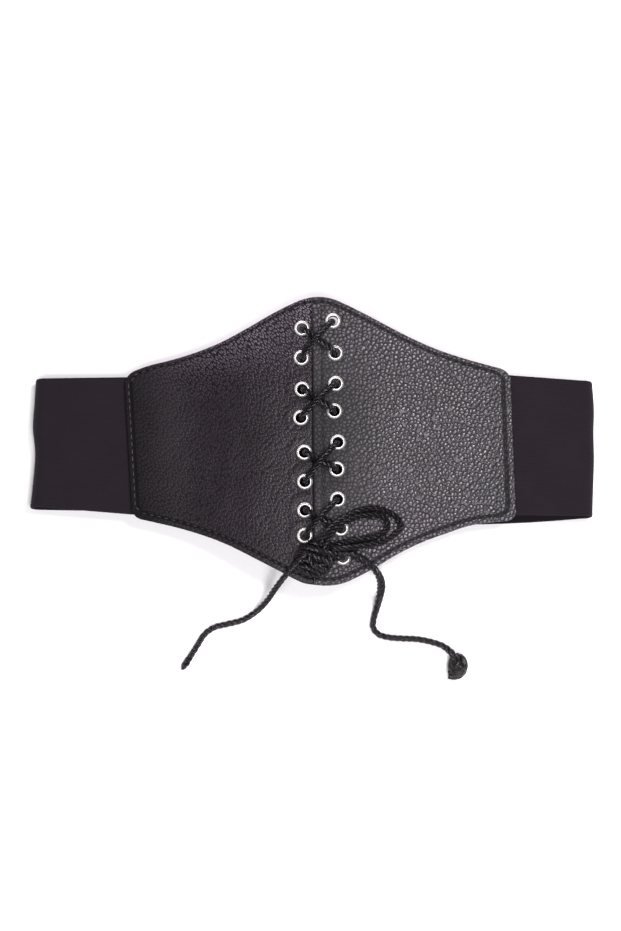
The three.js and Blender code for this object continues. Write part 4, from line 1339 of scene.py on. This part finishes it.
class BELT_OT_eyelets(bpy.types.Operator):
    """Turn one rolled metal eyelet and set a copy in every hole"""
    bl_idname = "belt.eyelets"
    bl_label = "Eyelets"

    def execute(self, context):
        sizes = context.scene.belt_sizes
        material = nickel_material(tuple(context.scene.belt_colours.nickel))
        pattern = self.make_pattern(sizes)
        pattern.data.materials.append(material)
        for name, places in eyelet_places().items():
            for i, (x, y) in enumerate(places):
                copy = pattern.copy()
                copy.data = pattern.data.copy()
                copy.name = f"rolled_eyelet_{name}_{i + 1}"
                context.scene.collection.objects.link(copy)
                turn = 1.7 * i + (0.8 if name == "left" else 0)
                for vertex in copy.data.vertices:
                    c = vertex.co
                    vertex.co = (
                        x + c.x * math.cos(turn) - c.y * math.sin(turn),
                        y + c.x * math.sin(turn) + c.y * math.cos(turn),
                        CREST_Z + c.z)
                settle(copy, "nickel", f"eyelet_{name}_{i + 1}")
        bpy.data.objects.remove(pattern)
        return {"FINISHED"}

    def make_pattern(self, sizes):
        """One eyelet round the origin, made by extruding a ring through its rolled section."""
        bore = sizes.eyelet_bore
        flange = sizes.eyelet_flange
        face = 0.0011
        section = (
            (bore + 0.00002, -0.0014), (bore, -0.0006), (bore, 0.0006), (bore + 0.00008, 0.00125),
            (bore + 0.00026, 0.00158), (bore + 0.00048, 0.00166), (bore + 0.00066, 0.00156),
            (bore + 0.00076, 0.00148), (bore + 0.00088, 0.0016), (bore + 0.00108, 0.00186),
            (bore + 0.00132, 0.00196), (flange - 0.0002, 0.0018), (flange - 0.00004, 0.00152),
            (flange, 0.00132), (flange - 0.0001, face + 0.0001), (flange - 0.0003, face),
            (bore + 0.00045, face), (bore + 0.00045, -0.0012), (0.0041, -0.00122),
            (0.0042, -0.00142), (0.0040, -0.0017), (0.0036, -0.00186), (bore + 0.0003, -0.0017),
        )
        deselect_all()
        bpy.ops.mesh.primitive_circle_add(vertices=40, radius=section[0][0],
                                          location=(0, 0, section[0][1]))
        pattern = bpy.context.object
        bpy.ops.object.transform_apply(location=True)
        bpy.ops.object.mode_set(mode="EDIT")
        bpy.ops.mesh.select_all(action="SELECT")
        for (r0, z0), (r1, z1) in zip(section, section[1:]):
            bpy.ops.mesh.extrude_edges_move(
                TRANSFORM_OT_translate={"value": (0, 0, z1 - z0)})
            bpy.ops.transform.resize(value=(r1 / r0, r1 / r0, 1), center_override=(0, 0, z1))
        bpy.ops.mesh.select_all(action="DESELECT")
        bpy.ops.mesh.select_mode(type="EDGE")
        bpy.ops.mesh.select_non_manifold()
        bpy.ops.mesh.bridge_edge_loops()
        bpy.ops.mesh.select_all(action="SELECT")
        bpy.ops.mesh.remove_doubles(threshold=0.000001)
        bpy.ops.mesh.normals_make_consistent(inside=False)
        bpy.ops.object.mode_set(mode="OBJECT")
        bpy.ops.object.shade_smooth_by_angle(angle=math.radians(50))
        return pattern


def crossing_point(a, b, c, d):
    """Where the line from a to b meets the line from c to d."""
    ab = (b[0] - a[0], b[1] - a[1])
    cd = (d[0] - c[0], d[1] - c[1])
    t = ((c[0] - a[0]) * cd[1] - (c[1] - a[1]) * cd[0]) / (ab[0] * cd[1] - ab[1] * cd[0])
    return a[0] + ab[0] * t, a[1] + ab[1] * t


def turn_out(start, towards, face):
    """The lace's way out of one eyelet towards another, outside (face 1) or inside (face -1)."""
    run = math.hypot(towards[0] - start[0], towards[1] - start[1])
    dx = (towards[0] - start[0]) / run
    dy = (towards[1] - start[1]) / run
    half = math.sqrt(0.5) * LACE_BEND
    steps = ((LACE_LEAN, 0.0002), (LACE_LEAN, LACE_MOUTH),
             (LACE_LEAN + LACE_BEND - half, LACE_MOUTH + half),
             (LACE_LEAN + LACE_BEND, LACE_MOUTH + LACE_BEND))
    return [(start[0] + dx * out, start[1] + dy * out, CREST_Z + face * lift)
            for out, lift in steps]


def lacing_route(eyelets):
    """One lace through every eyelet, crossing outside between rows 1 and 2, 3 and 4 and so on."""
    left = eyelets["left"]
    right = eyelets["right"]
    last = len(left) - 1
    order = [right[last]]
    order += [left[i] if i % 2 else right[i] for i in range(last - 1, -1, -1)]
    order += [right[i] if i % 2 else left[i] for i in range(last)]
    order.append(left[last])

    def row(place):
        return left.index(place) if place in left else right.index(place)

    knot_low = (0.0036, -0.0736)
    knot = (0.0036, -0.0696)
    points = turn_out(order[0], knot_low, 1)[::-1]
    for start, to in zip(order, order[1:]):
        upper = min(row(start), row(to))
        level = row(start) == row(to)
        face = -1 if level or upper % 2 == 1 else 1
        points += turn_out(start, to, face)
        if not level:
            x, y = crossing_point(left[upper], right[upper + 1], right[upper], left[upper + 1])
            over = (left[upper] in (start, to)) == (face < 0)
            lift = 0.00305 + (0.0007 if face > 0 else 0) + (0.0038 if over else 0)
            points.append((x, y, CREST_Z + face * lift))
        points += turn_out(to, start, face)[::-1]
    points += turn_out(order[-1], knot, 1)[:2]
    kept = [points[0]]
    for p in points[1:]:
        if (Vector(p) - Vector(kept[-1])).length > 0.001:
            kept.append(p)
    return kept


class BELT_OT_lacing(bpy.types.Operator):
    """Run the twisted lace through all the eyelets"""
    bl_idname = "belt.lacing"
    bl_label = "Lacing"

    def execute(self, context):
        sizes = context.scene.belt_sizes
        material = lace_material("twisted_lace", tuple(context.scene.belt_colours.lace))
        piece, _, _ = make_cord("lace_through_eyelets", [lacing_route(eyelet_places())], sizes,
                                material)
        settle(piece, "lace", "lacing")
        return {"FINISHED"}


def add_soft_middle(piece_name, knot, material):
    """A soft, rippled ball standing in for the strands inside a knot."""
    deselect_all()
    bpy.ops.mesh.primitive_uv_sphere_add(segments=24, ring_count=14, radius=0.5,
                                         location=knot["at"], scale=knot["size"])
    middle = bpy.context.object
    middle.name = piece_name
    bpy.ops.object.transform_apply(location=True, rotation=True, scale=True)
    for vertex in middle.data.vertices:
        c = vertex.co
        vertex.co = c + vertex.normal * 0.0003 * math.sin(c.x * 2600 + c.y * 3400)
    bpy.ops.object.shade_smooth()
    middle.data.materials.append(material)
    for layer in list(middle.data.uv_layers):
        middle.data.uv_layers.remove(layer)
    add_uv(middle, [(v.co.x + v.co.y, v.co.y - v.co.x) for v in middle.data.vertices])
    return middle


def make_knot(name, turns, middle, sizes, material, fullness=0.25):
    """A knot's turns of lace over its soft middle, as one piece."""
    knot, _, _ = make_cord(f"{name}_turns", turns, sizes, material, fullness=fullness)
    core = add_soft_middle(f"{name}_middle", middle, material)
    choose(knot)
    core.select_set(True)
    bpy.ops.object.join()
    return knot


class BELT_OT_bow(bpy.types.Operator):
    """Tie the bow: its knot and the two loops of lace"""
    bl_idname = "belt.bow"
    bl_label = "Bow"

    def execute(self, context):
        sizes = context.scene.belt_sizes
        material = lace_material("twisted_lace", tuple(context.scene.belt_colours.lace))
        knot = make_knot("bow_knot", BOW_KNOT_TURNS, BOW_KNOT_MIDDLE, sizes, material)
        settle(knot, "lace", "bow_knot")
        for name, route in (("outer", OUTER_LOOP), ("inner", INNER_LOOP)):
            piece, path, length = make_cord(f"bow_loop_{name}_lace", [route], sizes, material)
            settle(piece, "lace", f"bow_loop_{name}")
        return {"FINISHED"}


class BELT_OT_lace_ends(bpy.types.Operator):
    """Lay out the two loose ends, one with a flattened tip and one with a stop knot"""
    bl_idname = "belt.lace_ends"
    bl_label = "Lace ends"

    def execute(self, context):
        sizes = context.scene.belt_sizes
        material = lace_material("twisted_lace", tuple(context.scene.belt_colours.lace))
        tip = self.make_tip(sizes, material)
        settle(tip, "lace", "lace_tip_left")
        left, path, length = make_cord("lace_end_left_lace", [LEFT_END], sizes, material,
                                       fullness=0.31)
        settle(left, "lace", "lace_end_left")

        worn = lace_material("stop_knot_lace", STOP_KNOT_COLOUR)
        knot = make_knot("stop_knot", STOP_KNOT_TURNS, STOP_KNOT_MIDDLE, sizes, worn, 0.4)
        settle(knot, "lace", "stop_knot_right")

        def shape(t):
            wide = 1 + 0.38 * bump_profile(t, 0.34, 0.13) + 0.3 * max(t - 0.92, 0) / 0.08
            return wide, wide, 1

        right, path, length = make_cord("lace_end_right_lace", [RIGHT_END], sizes, material,
                                        shape, fullness=0.33)
        settle(right, "lace", "lace_end_right")
        return {"FINISHED"}

    def make_tip(self, sizes, material):
        """The left end's fused tip: the three strands pressed flat and drawn to a point."""
        end = Vector(LEFT_END[-1])
        heading = (end - Vector(LEFT_END[-2])).normalized()
        route = [end - heading * 0.0004 + heading * 0.0089 * i / 6 for i in range(7)]

        def shape(t):
            wide = smooth_table((0, 0.35, 0.6, 0.85, 1), (1, 1.22, 1.2, 0.8, 0.12), t)
            deep = smooth_table((0, 0.35, 0.7, 1), (1, 0.75, 0.7, 0.3), t)
            return wide, deep, 1 + 0.35 * min(t / 0.3, 1)

        piece, _, _ = make_cord("lace_tip_left_lace", [route], sizes, material, shape,
                                phases=[0.0])
        return piece


class BELT_PT_tools(bpy.types.Panel):
    """Sidebar panel with the belt's pieces, sizes and colours"""
    bl_idname = "BELT_PT_tools"
    bl_label = "Corset Belt"
    bl_space_type = "VIEW_3D"
    bl_region_type = "UI"
    bl_category = "Belt"

    def draw(self, context):
        layout = self.layout
        for operator in OPERATORS:
            layout.operator(operator.bl_idname)
        for group in (context.scene.belt_sizes, context.scene.belt_colours):
            box = layout.box()
            for key in group.__annotations__:
                box.prop(group, key)


OPERATORS = (
    BELT_OT_stage,
    BELT_OT_front_panels,
    BELT_OT_stitching,
    BELT_OT_elastic,
    BELT_OT_back_clasp,
    BELT_OT_eyelets,
    BELT_OT_lacing,
    BELT_OT_bow,
    BELT_OT_lace_ends,
)
CLASSES = (BeltSizes, BeltColours) + OPERATORS + (BELT_PT_tools,)


def register():
    for cls in CLASSES:
        bpy.utils.register_class(cls)
    bpy.types.Scene.belt_sizes = bpy.props.PointerProperty(type=BeltSizes)
    bpy.types.Scene.belt_colours = bpy.props.PointerProperty(type=BeltColours)


def unregister():
    del bpy.types.Scene.belt_colours
    del bpy.types.Scene.belt_sizes
    for cls in reversed(CLASSES):
        bpy.utils.unregister_class(cls)


def main():
    register()
    bpy.ops.belt.stage()
    bpy.ops.belt.lacing()
    bpy.ops.belt.bow()
    bpy.ops.belt.lace_ends()
    bpy.ops.belt.front_panels()
    bpy.ops.belt.stitching()
    bpy.ops.belt.elastic()
    bpy.ops.belt.back_clasp()
    bpy.ops.belt.eyelets()


if __name__ == "__main__":
    main()
